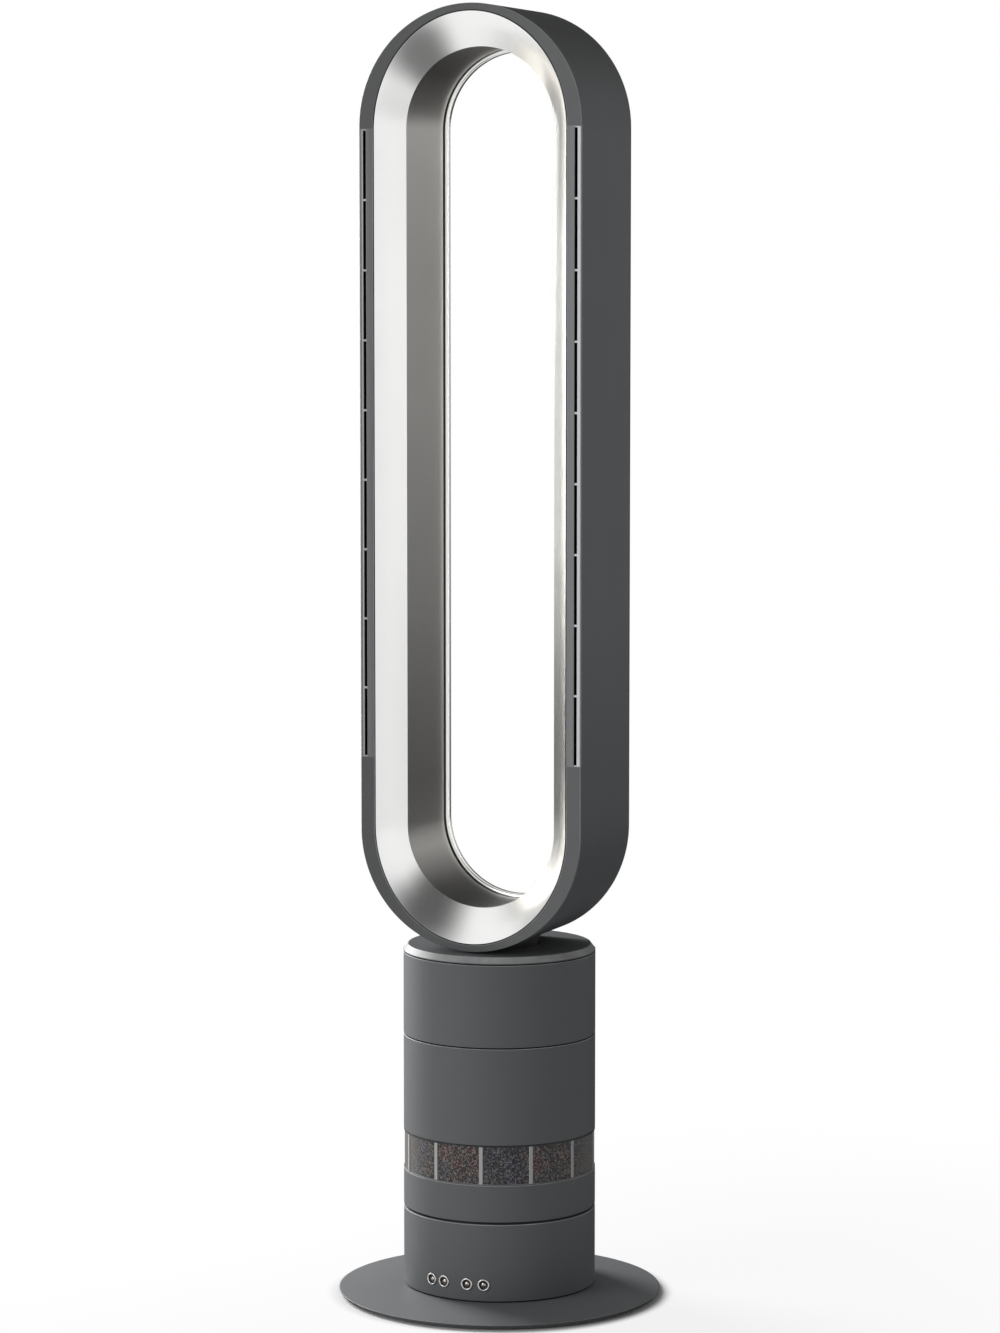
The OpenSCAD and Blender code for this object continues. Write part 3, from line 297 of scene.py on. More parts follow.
def around_loop(outer, inner, width, section):
    """A section of inset and depth carried round the loop. An inset of nothing lies on the outer outline and
    one of the full width on the inner outline."""
    inset, y = np.array(section, float).T
    share = (inset / width)[:, None]
    size = np.array(outer) * (1 - share) + np.array(inner) * share
    return obrounds(np.column_stack([size, y]))


def inset_by(size, d):
    return (size[0] - 2 * d, size[1] - 2 * d, size[2] - d)


OUTER = (LOOP_W, LOOP_H, LOOP_W / 2)
RIM_INNER = (CONE_W + 2 * RIM_GAP, CONE_H + 2 * RIM_GAP, CONE_E + RIM_GAP)
CONE_FRONT = (CONE_W, CONE_H, CONE_E)
TUNNEL_FRONT = (TUNNEL_W, TUNNEL_H, TUNNEL_W / 2)
TUNNEL_BACK = (BACK_W, BACK_H, BACK_W / 2)
RIM_W = RIM_SIDE_W - RIM_GAP


# Finishes


def emptied(holder):
    """The node tree of a material or world, without the nodes that it starts with."""
    holder.use_nodes = True
    holder.node_tree.nodes.clear()
    return holder.node_tree


def wire(tree, kind, inputs=None, **settings):
    """Adds a shader node, with each input given a value or joined to another node's output."""
    node = tree.nodes.new("ShaderNode" + kind)
    for key, value in settings.items():
        setattr(node, key, value)
    for key, value in (inputs or {}).items():
        if isinstance(value, bpy.types.NodeSocket):
            tree.links.new(value, node.inputs[key])
        else:
            node.inputs[key].default_value = value
    return node


def calc(tree, kind, *values):
    return wire(tree, "Math", dict(enumerate(values)), operation=kind).outputs[0]


def vector(tree, kind, first, second):
    return wire(tree, "VectorMath", {0: first, 1: second}, operation=kind).outputs


def scaled(tree, colour, factor):
    return wire(tree, "VectorMath", {0: colour, "Scale": factor}, operation="SCALE").outputs[0]


def axes(tree, place):
    return wire(tree, "SeparateXYZ", {0: place}).outputs


def slide(tree, value, start, end, low=0.0, high=1.0, kind="LINEAR"):
    """A value's even passage from low to high between two marks, held level outside them."""
    return wire(tree, "MapRange", {"Value": value, "From Min": start, "From Max": end, "To Min": low,
                                   "To Max": high}, interpolation_type=kind).outputs[0]


def fade(tree, value, start, end, low=0.0, high=1.0):
    """The same passage with a soft start and end: three times its square less twice its cube."""
    return slide(tree, value, start, end, low, high, "SMOOTHSTEP")


def slant(tree, start, end, most=1.0):
    """How far the surface is turned from the eye: none below the first mark and the most past the second."""
    return fade(tree, wire(tree, "LayerWeight", {"Blend": 0.5}).outputs["Facing"], start, end, 0.0, most)


def mix(tree, share, first, second, kind="MIX"):
    """Blends two colours by a share, or multiplies the first with the second by it."""
    return wire(tree, "MixRGB", {"Fac": share, "Color1": first, "Color2": second}, blend_type=kind).outputs[0]


def noise(tree, place, size, detail=3.0, rough=0.5):
    """A cloudy value between 0 and 1."""
    return wire(tree, "TexNoise", {"Vector": place, "Scale": size, "Detail": detail,
                                   "Roughness": rough}).outputs[0]


def ramp(tree, factor, stops, kind="LINEAR"):
    """Blends or steps between colours or greys at the given places."""
    node = wire(tree, "ValToRGB", {"Fac": factor})
    band = node.color_ramp
    band.interpolation = kind
    while len(band.elements) < len(stops):
        band.elements.new(0.5)
    for element, (place, colour) in zip(band.elements, stops):
        element.position = place
        element.color = colour if isinstance(colour, tuple) else (colour, colour, colour, 1)
    return node.outputs["Color"]


def group(name, inputs, outputs):
    """A new shader node group with its sockets, and its input and output sockets."""
    tree = bpy.data.node_groups.new(name, "ShaderNodeTree")
    for label, kind, value in inputs:
        socket = tree.interface.new_socket(name=label, in_out="INPUT", socket_type=kind)
        if value is not None:
            socket.default_value = value
    for label, kind in outputs:
        tree.interface.new_socket(name=label, in_out="OUTPUT", socket_type=kind)
    return tree, tree.nodes.new("NodeGroupInput").outputs, tree.nodes.new("NodeGroupOutput").inputs


FLOAT, COLOUR, VECTOR = "NodeSocketFloat", "NodeSocketColor", "NodeSocketVector"
FEEL = [("Height", FLOAT), ("Roughness", FLOAT)]


def make_tone_drift():
    """Two close tones that drift into each other over the piece, with a fine fleck on top."""
    tree, come, go = group("tone_drift", [("Place", VECTOR, None), ("Tone", COLOUR, (0.1, 0.1, 0.1, 1)),
                                          ("Other Tone", COLOUR, (0.12, 0.12, 0.12, 1)), ("Size", FLOAT, 9.0),
                                          ("Fleck", FLOAT, 0.05)], [("Colour", COLOUR)])
    mixed = mix(tree, noise(tree, come["Place"], come["Size"], 2.0), come["Tone"], come["Other Tone"])
    fine = calc(tree, "SUBTRACT", noise(tree, come["Place"], 2600.0, 1.0), 0.5)
    level = calc(tree, "ADD", calc(tree, "MULTIPLY", fine, come["Fleck"]), 1.0)
    tree.links.new(scaled(tree, mixed, level), go["Colour"])
    return tree


def make_moulded_grain():
    """Height of a fine moulded or sprayed grain, and the roughness that varies with it."""
    tree, come, go = group("moulded_grain", [("Place", VECTOR, None), ("Size", FLOAT, 1400.0),
                                             ("Roughness", FLOAT, 0.4), ("Spread", FLOAT, 0.1)], FEEL)
    grain = noise(tree, come["Place"], come["Size"], rough=0.6)
    centred = calc(tree, "SUBTRACT", calc(tree, "ADD", grain, noise(tree, come["Place"], 22.0)), 1.0)
    tree.links.new(grain, go["Height"])
    tree.links.new(calc(tree, "MULTIPLY_ADD", centred, come["Spread"], come["Roughness"]), go["Roughness"])
    return tree


def make_edge_wear_and_highlight():
    """How far a rounded or sharp edge is lightened, partly by rubbing and partly as a painted highlight: the
    piece's own edge mask, broken up by a noise.
    """
    tree, come, go = group("edge_wear_and_highlight", [("Place", VECTOR, None), ("Edge", FLOAT, 0.0),
                                         ("Amount", FLOAT, 0.5)], [("Mask", FLOAT)])
    patchy = slide(tree, noise(tree, come["Place"], 60.0), 0.3, 0.7, 0.55)
    amount = calc(tree, "MULTIPLY", patchy, come["Amount"])
    tree.links.new(calc(tree, "MULTIPLY", amount, come["Edge"]), go["Mask"])
    return tree


def make_brushing():
    """Fine strokes along the first coordinate: a noise stretched many times longer than it is wide."""
    tree, come, go = group("brushing", [("Place", VECTOR, None), ("Length", FLOAT, 30.0),
                                        ("Across", FLOAT, 5000.0), ("Roughness", FLOAT, 0.3),
                                        ("Spread", FLOAT, 0.1)], FEEL)
    size = wire(tree, "CombineXYZ", {"X": come["Length"], "Y": come["Across"], "Z": come["Across"]})
    place = vector(tree, "MULTIPLY", come["Place"], size.outputs[0])[0]
    stroke = noise(tree, place, 1.0, rough=0.55)
    centred = calc(tree, "SUBTRACT", stroke, 0.5)
    tree.links.new(stroke, go["Height"])
    tree.links.new(calc(tree, "MULTIPLY_ADD", centred, come["Spread"], come["Roughness"]), go["Roughness"])
    return tree


TONE_DRIFT = make_tone_drift()
MOULDED_GRAIN = make_moulded_grain()
BRUSHING = make_brushing()
EDGE_WEAR_AND_HIGHLIGHT = make_edge_wear_and_highlight()


def use(tree, grouped, **inputs):
    """A group placed in a material, with its inputs given by name."""
    named = {key.replace("_", " "): value for key, value in inputs.items()}
    return wire(tree, "Group", named, node_tree=grouped).outputs


def new_finish(name, specular=0.5, metallic=0.0):
    """An empty material with its shader and its coordinates."""
    material = bpy.data.materials.new(name)
    tree = emptied(material)
    shader = wire(tree, "BsdfPrincipled", {"Specular IOR Level": specular, "Metallic": metallic})
    wire(tree, "OutputMaterial", {"Surface": shader.outputs[0]})
    return material, tree, shader, wire(tree, "TexCoord").outputs


def join(tree, shader, colour, roughness, height, depth):
    """Joins colour, roughness and a bump of the given depth in metres to the shader."""
    bump = wire(tree, "Bump", {"Height": height, "Strength": 1.0, "Distance": depth})
    tree.links.new(colour, shader.inputs["Base Color"])
    tree.links.new(roughness, shader.inputs["Roughness"])
    tree.links.new(bump.outputs["Normal"], shader.inputs["Normal"])


def tinted(tree, place, tone, other, wear_and_highlight):
    """The drifting colour of a finish, lightened where the piece's edge mask says so, partly by rubbing and
    partly as a painted highlight.
    """
    colour = use(tree, TONE_DRIFT, Place=place["Object"], Tone=tone, Other_Tone=other)["Colour"]
    if not wear_and_highlight:
        return colour
    edge = wire(tree, "Attribute", attribute_name="edge").outputs["Fac"]
    wear_and_highlight_mask = use(tree, EDGE_WEAR_AND_HIGHLIGHT, Place=place["Object"], Edge=edge, Amount=wear_and_highlight)["Mask"]
    return mix(tree, wear_and_highlight_mask, colour, (0.8, 0.8, 0.8, 1))


def shaded(tree, place, colour, shade, share=1.0):
    """Multiplies a colour with greys that are given at heights in metres, by a share or a mask: painted shade
    and painted reflections by height.
    """
    low, high = shade[0][0], shade[-1][0]
    level = slide(tree, axes(tree, place["Object"])["Z"], low, high)
    greys = ramp(tree, level, [((z - low) / (high - low), v) for z, v in shade])
    return mix(tree, share, colour, greys, "MULTIPLY")


def plastic(name, tone, other, roughness=0.45, spread=0.12, size=1400.0, depth=0.00001, specular=0.5,
            metallic=0.0, wear_and_highlight=0.0, shade=None):
    """A moulded or sprayed finish with a drifting tone and a fine grain. It can have a painted shade, greys
    by height that its colour is multiplied with."""
    material, tree, shader, place = new_finish(name, specular, metallic)
    final = tinted(tree, place, tone, other, wear_and_highlight)
    # Painted shade: the colour darkened by height.
    if shade:
        final = shaded(tree, place, final, shade)
    grain = use(tree, MOULDED_GRAIN, Place=place["Object"], Size=size, Roughness=roughness, Spread=spread)
    join(tree, shader, final, grain["Roughness"], grain["Height"], depth)
    return material


def brushed(name, tone, other, roughness, spread=0.12, across=5000.0, depth=0.000003, lay="UV", wear_and_highlight=0.0,
            right=None, shade=None):
    """Metal or metallic paint with fine strokes along the piece. It can have painted reflections, greys by
    height
    that darken its colour: one on the right side of the loop, where the cone faces the dim side of the
    studio, and one all over that reflections in other pieces don't show."""
    material, tree, shader, place = new_finish(name, metallic=1.0)
    final = tinted(tree, place, tone, other, wear_and_highlight)
    # Painted reflection: the cone's right side darkened by height, where it faces the dim side of the studio.
    if right:
        side = fade(tree, axes(tree, place["Object"])["X"], 0.05, 0.06)
        final = shaded(tree, place, final, right, side)
    # Painted reflection: the tunnel wall darkened by height where seen directly, but not in glossy rays.
    if shade:
        mirrored = wire(tree, "LightPath").outputs["Is Glossy Ray"]
        final = shaded(tree, place, final, shade, calc(tree, "SUBTRACT", 1.0, mirrored))
    strokes = use(tree, BRUSHING, Place=place[lay], Across=across, Roughness=roughness, Spread=spread)
    join(tree, shader, final, strokes["Roughness"], strokes["Height"], depth)
    return material


def woven(name):
    """Fine cloth of dark wires laid out in the surface's own coordinates, a little redder in one panel and
    more violet in the next. Each wire crossing has its own brightness, with dark holes between that close up
    where the cloth is seen at a slant, where a painted sheen also turns the colour to a light grey."""
    material, tree, shader, place = new_finish(name, 0.4)
    cell = wire(tree, "TexVoronoi", {"Vector": scaled(tree, place["UV"], 1 / WIRE_PITCH), "Scale": 1.0,
                                     "Randomness": 0.8}).outputs
    turn = calc(tree, "MULTIPLY_ADD", axes(tree, place["UV"])["X"], PANEL_N / 2 / (MESH_R * MM),
                -math.radians(DIVIDER_AT) * PANEL_N / 2)
    patchy = noise(tree, place["UV"], 60.0, 2.0)
    tint = ramp(tree, calc(tree, "MULTIPLY_ADD", calc(tree, "SINE", turn), -0.09, patchy),
                [(0.36, srgb(94, 91, 100)), (0.46, srgb(96, 93, 95)), (0.55, srgb(106, 96, 92)),
                 (0.66, srgb(120, 96, 94))])
    light = ramp(tree, cell["Distance"], [(0.0, 1.0), (0.35, 0.75), (0.65, 0.07), (1.0, 0.03)])
    fleck = wire(tree, "SeparateColor", {"Color": cell["Color"]}).outputs[0]
    deep = scaled(tree, mix(tree, 1.0, tint, light, "MULTIPLY"), slide(tree, fleck, 0.0, 1.0, 0.1, 2.5))
    # Painted sheen: the colour turns to a light grey where the cloth is seen at a slant, as its holes close
    # up.
    final = mix(tree, slant(tree, 0.25, 0.7, 0.7), deep, srgb(104, 102, 98))
    grain = use(tree, MOULDED_GRAIN, Place=place["Object"], Roughness=0.55, Spread=0.2)
    join(tree, shader, final, grain["Roughness"], light, 0.00012)
    return material


def board_green(name):
    """Solder mask with faint straight tracks."""
    material, tree, shader, place = new_finish(name)
    tracks = wire(tree, "TexWave", {"Vector": place["Object"], "Scale": 160.0, "Distortion": 4.0,
                                    "Detail": 1.0}, bands_direction="X").outputs["Fac"]
    colour = ramp(tree, tracks, [(0.4, srgb(16, 84, 46)), (0.55, srgb(28, 112, 62))])
    grain = use(tree, MOULDED_GRAIN, Place=place["Object"], Roughness=0.25, Spread=0.1)
    join(tree, shader, colour, grain["Roughness"], tracks, 0.00003)
    return material


def satin(name, layouts, roughness, specular, wear_and_highlight=0.0):
    """Satin plastic whose tone is laid out across the loop's width, from left to right, in millimetres off
    the
    middle: painted light and shade. The first layout holds beside the slots and the last one past their ends."""
    material, tree, shader, place = new_finish(name, specular)
    at = axes(tree, place["Object"])
    half, past_slots, soft = LOOP_W / 2 * MM, 1.2, 0.0004
    spot = slide(tree, at["X"], -half, half)
    tones = [ramp(tree, spot, [(0.5 + x / LOOP_W, srgb(v, v + 1, v + 2)) for x, v in stops], kind)
             for kind, stops in layouts]
    off = calc(tree, "ABSOLUTE", calc(tree, "SUBTRACT", at["Z"], (LOOP_Z + SLOT_RISE) * MM))
    edge = (SLOT_ROW / 2 + past_slots) * MM
    tone = mix(tree, fade(tree, off, edge, edge + soft), tones[0], tones[-1])
    final = tinted(tree, place, tone, tone, wear_and_highlight)
    grain = use(tree, MOULDED_GRAIN, Place=place["Object"], Roughness=roughness, Spread=0.1)
    join(tree, shader, final, grain["Roughness"], grain["Height"], 0.00001)
    return material


# Edge lightening values lighten a piece's edges: partly rubbing and partly a painted highlight.
FINISH = {
    "slate": plastic("slate_satin", srgb(91, 93, 95), srgb(95, 97, 99), roughness=0.5, specular=0.25,
                     wear_and_highlight=0.42),
    "dark": plastic("dark_moulded", srgb(30, 31, 33), srgb(36, 37, 38), roughness=0.5, size=900.0,
                    depth=0.00003, specular=0.4),
    # Near black: the slots' nozzle walls, and dark bands that are painted shadow in the seams and gaps.
    "pit": plastic("black_slots_and_painted_shadow", srgb(10, 10, 11), srgb(14, 14, 15), roughness=0.6, specular=0.1),
    "neck": plastic("neck_black", srgb(16, 17, 18), srgb(20, 21, 22), roughness=0.25, spread=0.06,
                    specular=0.3),
    # Painted reflection on the cone's right side, and edge lightening that is partly a painted highlight.
    "silver": brushed("cone_silver", srgb(247, 247, 246), srgb(241, 241, 240), 0.24, depth=0.000001, wear_and_highlight=0.6,
                      right=CONE_RIGHT_PAINTED_REFLECTION),
    # Painted reflection: the tunnel wall darkened by height.
    "tunnel": brushed("tunnel_silver", srgb(247, 245, 240), srgb(241, 239, 235), 0.34, depth=0.000001,
                      shade=TUNNEL_PAINTED_REFLECTION),
    "lip": brushed("lip_silver", srgb(240, 240, 238), srgb(232, 232, 230), 0.22, depth=0.000001),
    "chrome": brushed("bezel_chrome", srgb(200, 197, 196), srgb(188, 186, 184), 0.2, spread=0.05,
                      lay="Object", across=3000.0),
    "dome": brushed("button_metal", srgb(176, 166, 158), srgb(160, 152, 146), 0.22, lay="Object",
                    across=3000.0),
    "trim": plastic("trim_pale", srgb(184, 184, 185), srgb(176, 177, 178), roughness=0.38, specular=0.4,
                    wear_and_highlight=0.9),
    # Painted light and shade across the width: the right strip lighter than the left, with darker bands at
    # the left strip's outer edge and at the slots' inner lips.
    "strip": satin("strip_satin", [("CONSTANT", [(-LOOP_W / 2, 104), (-SLOT_X - SLOT_W - 1.3, 176),
                                                 (-SLOT_X + 0.05, 112), (0, 134), (SLOT_X - 0.05, 224)])],
                   0.38, 0.4),
    # Painted light and shade across the width: the left side darker than the right, and darker again on the
    # round ends.
    "rim": satin("rim_satin", [("LINEAR", [(-CONE_W / 2 - 6, 118), (-CONE_W / 2, 100), (CONE_W / 2, 126),
                                           (CONE_W / 2 + 5, 138)]),
                               ("LINEAR", [(-60, 82), (60, 102)])], 0.5, 0.25, 0.42),
    # A lighter copy of the slate, painted light, with painted shade on the foot's lower edge and underside.
    "foot": plastic("foot_satin", srgb(107, 109, 111), srgb(111, 113, 115), roughness=0.5, specular=0.25,
                    wear_and_highlight=0.2, shade=FOOT_PAINTED_SHADE),
    # A lighter copy of the slate, painted light, with painted shade by height: darker on the lower and upper
    # arcs.
    "shell": plastic("shell_satin", srgb(111, 113, 115), srgb(115, 117, 119), roughness=0.5, specular=0.25,
                     wear_and_highlight=0.3, shade=CASING_PAINTED_SHADE),
    "divider": plastic("divider_grey", srgb(172, 172, 172), srgb(164, 165, 165), roughness=0.42,
                       specular=0.4),
    "white": plastic("white_moulded", srgb(222, 221, 214), srgb(214, 213, 208), roughness=0.42),
    "mesh": woven("mesh_woven"),
    "rubber": plastic("rubber_black", srgb(26, 26, 27), srgb(33, 33, 34), roughness=0.75, size=700.0,
                      depth=0.00005, specular=0.3),
    "iron": plastic("ballast_iron", srgb(92, 90, 88), srgb(74, 72, 71), roughness=0.55, size=400.0,
                    depth=0.00006, metallic=1.0),
    "steel": brushed("zinc_steel", srgb(190, 191, 194), srgb(172, 173, 178), 0.3, lay="Object",
                     across=2400.0),
    "alloy": brushed("motor_alloy", srgb(176, 177, 180), srgb(164, 165, 170), 0.35, lay="Object",
                     across=2000.0),
    "board": board_green("board_green"),
}
SLOT_FINISH = {
    "slate_plastic": "slate", "dark_plastic": "dark", "silver_cone": "silver", "tunnel_silver": "tunnel",
    "bezel_chrome": "chrome", "button_metal": "dome", "pale_trim": "trim", "white_plastic": "white",
    "mesh_dark": "mesh", "rubber": "rubber", "ballast": "iron", "steel": "steel", "motor_can": "alloy",
    "board": "board",
}


def dress_frame():
    """Gives every CAD node the finish of its material slot."""
    for part in frame["record"]["subparts"]:
        made = frame["nodes"][part["node"]]
        if not made.data.materials:
            made.data.materials.append(None)
        for held in made.material_slots:
            held.material = FINISH[SLOT_FINISH[part["material_slot"]]]


# Pieces


def added(name, data):
    """An object with the given mesh, light or camera, put into the scene."""
    made = bpy.data.objects.new(name, data)
    bpy.context.scene.collection.objects.link(made)
    return made


def mark_edges(mesh):
    """Stores at each point how far the faces round it lean off their mean: none below 3 degrees, all from 6
    to 30 degrees, as on a rounded edge, and none past 36 degrees, as on a corner with flats on both sides.
    Edges that face down stay dull: the mask lightens edges that face up, partly by rubbing and partly as a
    painted highlight."""
    n = len(mesh.polygons)
    normal = np.empty(n * 3)
    mesh.polygons.foreach_get("normal", normal)
    normal = normal.reshape(-1, 3)
    total = np.empty(n, int)
    mesh.polygons.foreach_get("loop_total", total)
    owner = np.repeat(np.arange(n), total)
    corner = np.empty(len(mesh.loops), int)
    mesh.loops.foreach_get("vertex_index", corner)
    mean = np.zeros((len(mesh.vertices), 3))
    np.add.at(mean, corner, normal[owner])
    mean /= np.maximum(np.linalg.norm(mean, axis=1, keepdims=True), 1e-9)
    off = np.degrees(np.arccos(np.clip((mean[corner] * normal[owner]).sum(1), -1, 1)))
    widest = np.zeros(len(mesh.vertices))
    np.maximum.at(widest, corner, off)
    none, whole, still_whole, corner_like = 3, 6, 30, 36
    upward = np.clip(1 + 12 * mean[:, 2], 0, 1)
    mask = np.clip((widest - none) / (whole - none), 0, 1) * upward
    mask *= np.clip((corner_like - widest) / (corner_like - still_whole), 0, 1)
    mesh.attributes.new("edge", "FLOAT", "POINT").data.foreach_set("value", mask.astype(np.float32))


def piece(name, shapes, body, finish, stands_for=(), uvs=None, sharp=32.0, bevel=0.0):
    """Makes one closed mesh of shapes in millimetres, smooth but for its sharp edges, and rides it on a
    body."""
    starts = np.cumsum([0] + [len(p) for p, f in shapes])
    points = np.concatenate([p for p, f in shapes]) * MM
    faces = np.concatenate([f + s for (p, f), s in zip(shapes, starts)])
    mesh = bpy.data.meshes.new(name)
    mesh.from_pydata(points, [], faces)
    if uvs is not None:
        mesh.uv_layers.new(name="surface").data.foreach_set("uv", np.asarray(uvs, np.float32).ravel())
    work = bmesh.new()
    work.from_mesh(mesh)
    bmesh.ops.remove_doubles(work, verts=work.verts, dist=1e-8)
    bmesh.ops.dissolve_degenerate(work, edges=work.edges, dist=1e-8)
    bmesh.ops.recalc_face_normals(work, faces=work.faces)
    work.to_mesh(mesh)
    work.free()
    mark_edges(mesh)
    mesh.shade_smooth()
    mesh.set_sharp_from_angle(angle=math.radians(sharp))
    mesh.materials.append(FINISH[finish])
    made = added(name, mesh)
    if bevel:
        soft = made.modifiers.new("soft_edges", "BEVEL")
        soft.width = bevel * MM
        soft.segments = 2
        soft.limit_method = "ANGLE"
        soft.angle_limit = math.radians(40)
    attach(made, body)
    if stands_for:
        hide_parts(*stands_for)
    return made


def loop_uvs(grid):
    """Distance along the loop and across the section, in metres, for each corner of a torus's cells."""
    n, m = grid.shape[:2]
    along = np.linalg.norm(np.roll(grid, -1, 0) - grid, axis=2).mean(1)
    across = np.linalg.norm(np.roll(grid, -1, 1) - grid, axis=2).mean(0)
    u = np.concatenate([[0], np.cumsum(along)]) * MM
    v = np.concatenate([[0], np.cumsum(across)]) * MM
    i, j = np.meshgrid(np.arange(n), np.arange(m), indexing="ij")
    corners = [(i, j), (i + 1, j), (i + 1, j + 1), (i, j + 1)]
    return np.stack([np.stack([u[a], v[b]], -1) for a, b in corners], 2).reshape(-1, 2)


def loop_ring(name, grid, finish, stands_for):
    """A closed section carried round the loop, with its own coordinates along and across."""
    return piece(name, [torus(grid)], "tower", finish, stands_for, uvs=loop_uvs(grid))


def stations(size_a, size_b, share, y):
    """Outline sizes part of the way from one outline to another, at their depths."""
    share = np.array(share, float)[:, None]
    size = np.array(size_a) * (1 - share) + np.array(size_b) * share
    return np.column_stack([size, np.array(y, float)])


def make_rim():
    """Flat front ring with a rounded outer edge and a window for each strip of slots. Its skin runs from the
    side, round the edge and across the face, and its back lies straight behind."""
    edge, lip = 0.45, 0.35
    bend = np.linspace(0, math.pi / 2, 6)
    face = [TRIM_IN - FIT, TRIM_IN + TRIM_W / 2, TRIM_IN + TRIM_W + FIT, RIM_W - 2 * lip]
    inset = np.concatenate([[0], edge * (1 - np.cos(bend)), face, RIM_W - lip * (1 - np.sin(bend)), [RIM_W]])
    y = np.concatenate([[LOOP_WALL], edge * (1 - np.sin(bend)), np.zeros(len(face)),
                        lip * (1 - np.cos(bend)), [LOOP_WALL]])
    rear = np.full(len(y), LOOP_WALL)
    front, back = (around_loop(OUTER, RIM_INNER, RIM_W, np.column_stack([inset, Y_FRONT + depth]))
                   for depth in (y, rear))
    keep = np.ones((len(front), len(inset) - 1), bool)
    first = int(np.argmin(np.abs(inset - (TRIM_IN - FIT))))
    rows, low = len(ROWS), int(np.argmin(np.abs(ROWS - ROW_LOW)))
    left = rows + len(TURNS)
    keep[low:rows - 1, first:first + 2] = False
    keep[left:left + rows - 1 - low, first:first + 2] = False
    piece("rim_face", [cut_sheet(front, back, keep, True)], "tower", "rim", ["front_rim"])


def make_slot_strips():
    """Two pale strips, each cut by its row of slots, and behind them the slots' dark nozzle walls."""
    low = SLOT_RISE - SLOT_ROW / 2 + SLOT_PITCH * np.arange(SLOT_N)
    cuts = np.sort(np.concatenate([low, low + SLOT_PITCH - BRIDGE_H]))
    thick, slot_end = 1.2, SLOT_X + SLOT_W
    strip = ((TRIM_X, SLOT_X, slot_end, TRIM_X + TRIM_W), TRIM_LIP_W, (0, thick))
    nozzle = ((SLOT_X - NOZZLE_T, SLOT_X, slot_end, slot_end + NOZZLE_T), NOZZLE_T, (thick, NOZZLE_D))
    made = []
    for x_lines, z_end, y in (strip, nozzle):
        z_lines = np.concatenate([[cuts[0] - z_end], cuts, [cuts[-1] + z_end]]) + LOOP_Z
        keep = np.ones((3, len(z_lines) - 1), bool)
        keep[1, 1::2] = False
        shapes = []
        for side in (-1, 1):
            x, z = np.meshgrid(side * np.array(x_lines), z_lines, indexing="ij")
            near, far = (np.stack([x, np.full(x.shape, Y_FRONT + depth), z], -1) for depth in y)
            shapes.append(cut_sheet(near, far, keep, False))
        made.append(shapes)
    piece("slot_strips", made[0], "tower", "strip", ["slot_trims"], bevel=0.1)
    piece("slot_nozzles", made[1], "tower", "pit")


def make_loop():
    """Casing, rear cover, cone, tunnel and rear lip, each a closed section carried round the loop, and two
    dark bands of painted shadow in the gaps beside the cone and before the lip."""
    y0, y1 = Y_FRONT + LOOP_WALL, Y_BACK - LOOP_WALL
    inside = inset_by(OUTER, LOOP_WALL)
    casing = obrounds([(*OUTER, y0), (*OUTER, y1), (*inside, y1), (*inside, y0)])
    loop_ring("loop_shell", casing, "shell", ["loop_casing"])
    open_w = (LOOP_W - BACK_W) / 2 - LINER_T
    opening = (BACK_W + 2 * LINER_T, BACK_H + 2 * LINER_T, BACK_W / 2 + LINER_T)
    cover = rounded([(0, y1), (open_w, y1), (open_w, Y_BACK), (0, Y_BACK)], [0, 0, 0.2, 0.45])
    cover = around_loop(OUTER, opening, open_w, cover)
    loop_ring("rear_face", cover, "slate", ["rear_cover"])
    edge, hem, hem_y, half_way = 0.35, 0.1, 2.2, 0.55
    tuck = edge * 0.4
    front = inset_by(CONE_FRONT, CONE_IN)
    down = np.array([0.02, 0.5, 0.98])
    cone = obrounds([(*front, Y_FRONT + tuck),
                     *stations(front, TUNNEL_FRONT, down, Y_FRONT + CONE_D * down),
                     (*TUNNEL_FRONT, Y_CONE), (*inset_by(TUNNEL_FRONT, -LINER_T), Y_CONE),
                     *stations(front, TUNNEL_FRONT, [half_way - LINER_T / CONE_SIDE_W],
                               [Y_FRONT + CONE_D * half_way + LINER_T]),
                     (*inset_by(front, -edge - hem), Y_FRONT + hem_y),
                     (*inset_by(front, -edge), Y_FRONT + tuck), (*inset_by(front, -edge / 2), Y_FRONT)])
    loop_ring("cone_skin", cone, "silver", ["silver_cone"])
    share = [0.0, 0.012, 0.5, 1.0]
    inner = stations(TUNNEL_FRONT, TUNNEL_BACK, share, Y_CONE + (Y_LIP - GROOVE - Y_CONE) * np.array(share))
    outer = inner[::-1] + np.array([2 * LINER_T, 2 * LINER_T, LINER_T, 0])
    tunnel = obrounds(np.concatenate([inner, outer]))
    loop_ring("tunnel_skin", tunnel, "tunnel", ["tunnel_liner"])
    lip_w = LIP_W + LINER_T
    lip = rounded([(0, Y_LIP), (lip_w, Y_LIP), (lip_w, Y_BACK), (0, Y_BACK)], [0, 2.3, 1.2, 0.2])
    lip = around_loop(inset_by(TUNNEL_BACK, -LINER_T), inset_by(TUNNEL_BACK, LIP_W), lip_w, lip)
    loop_ring("lip_ring", lip, "lip", ["rear_lip"])
    # Painted shadow: near black bands sunk in the gap beside the cone and in the groove before the lip.
    clear, sunk, hidden = 0.02, 0.5, edge + 0.12
    beside_cone = (inset_by(front, -hidden), CONE_IN + RIM_GAP - clear - hidden, Y_FRONT + 0.6, Y_FRONT + 2.0)
    before_lip = (inset_by(TUNNEL_BACK, -sunk), LINER_T - sunk, Y_LIP - GROOVE + clear, Y_LIP - clear)
    bands = []
    for size, thick, near, far in (beside_cone, before_lip):
        wide = inset_by(size, -thick)
        bands.append(torus(obrounds([(*size, near), (*size, far), (*wide, far), (*wide, near)])))
    piece("gap_bands", bands, "tower", "pit")


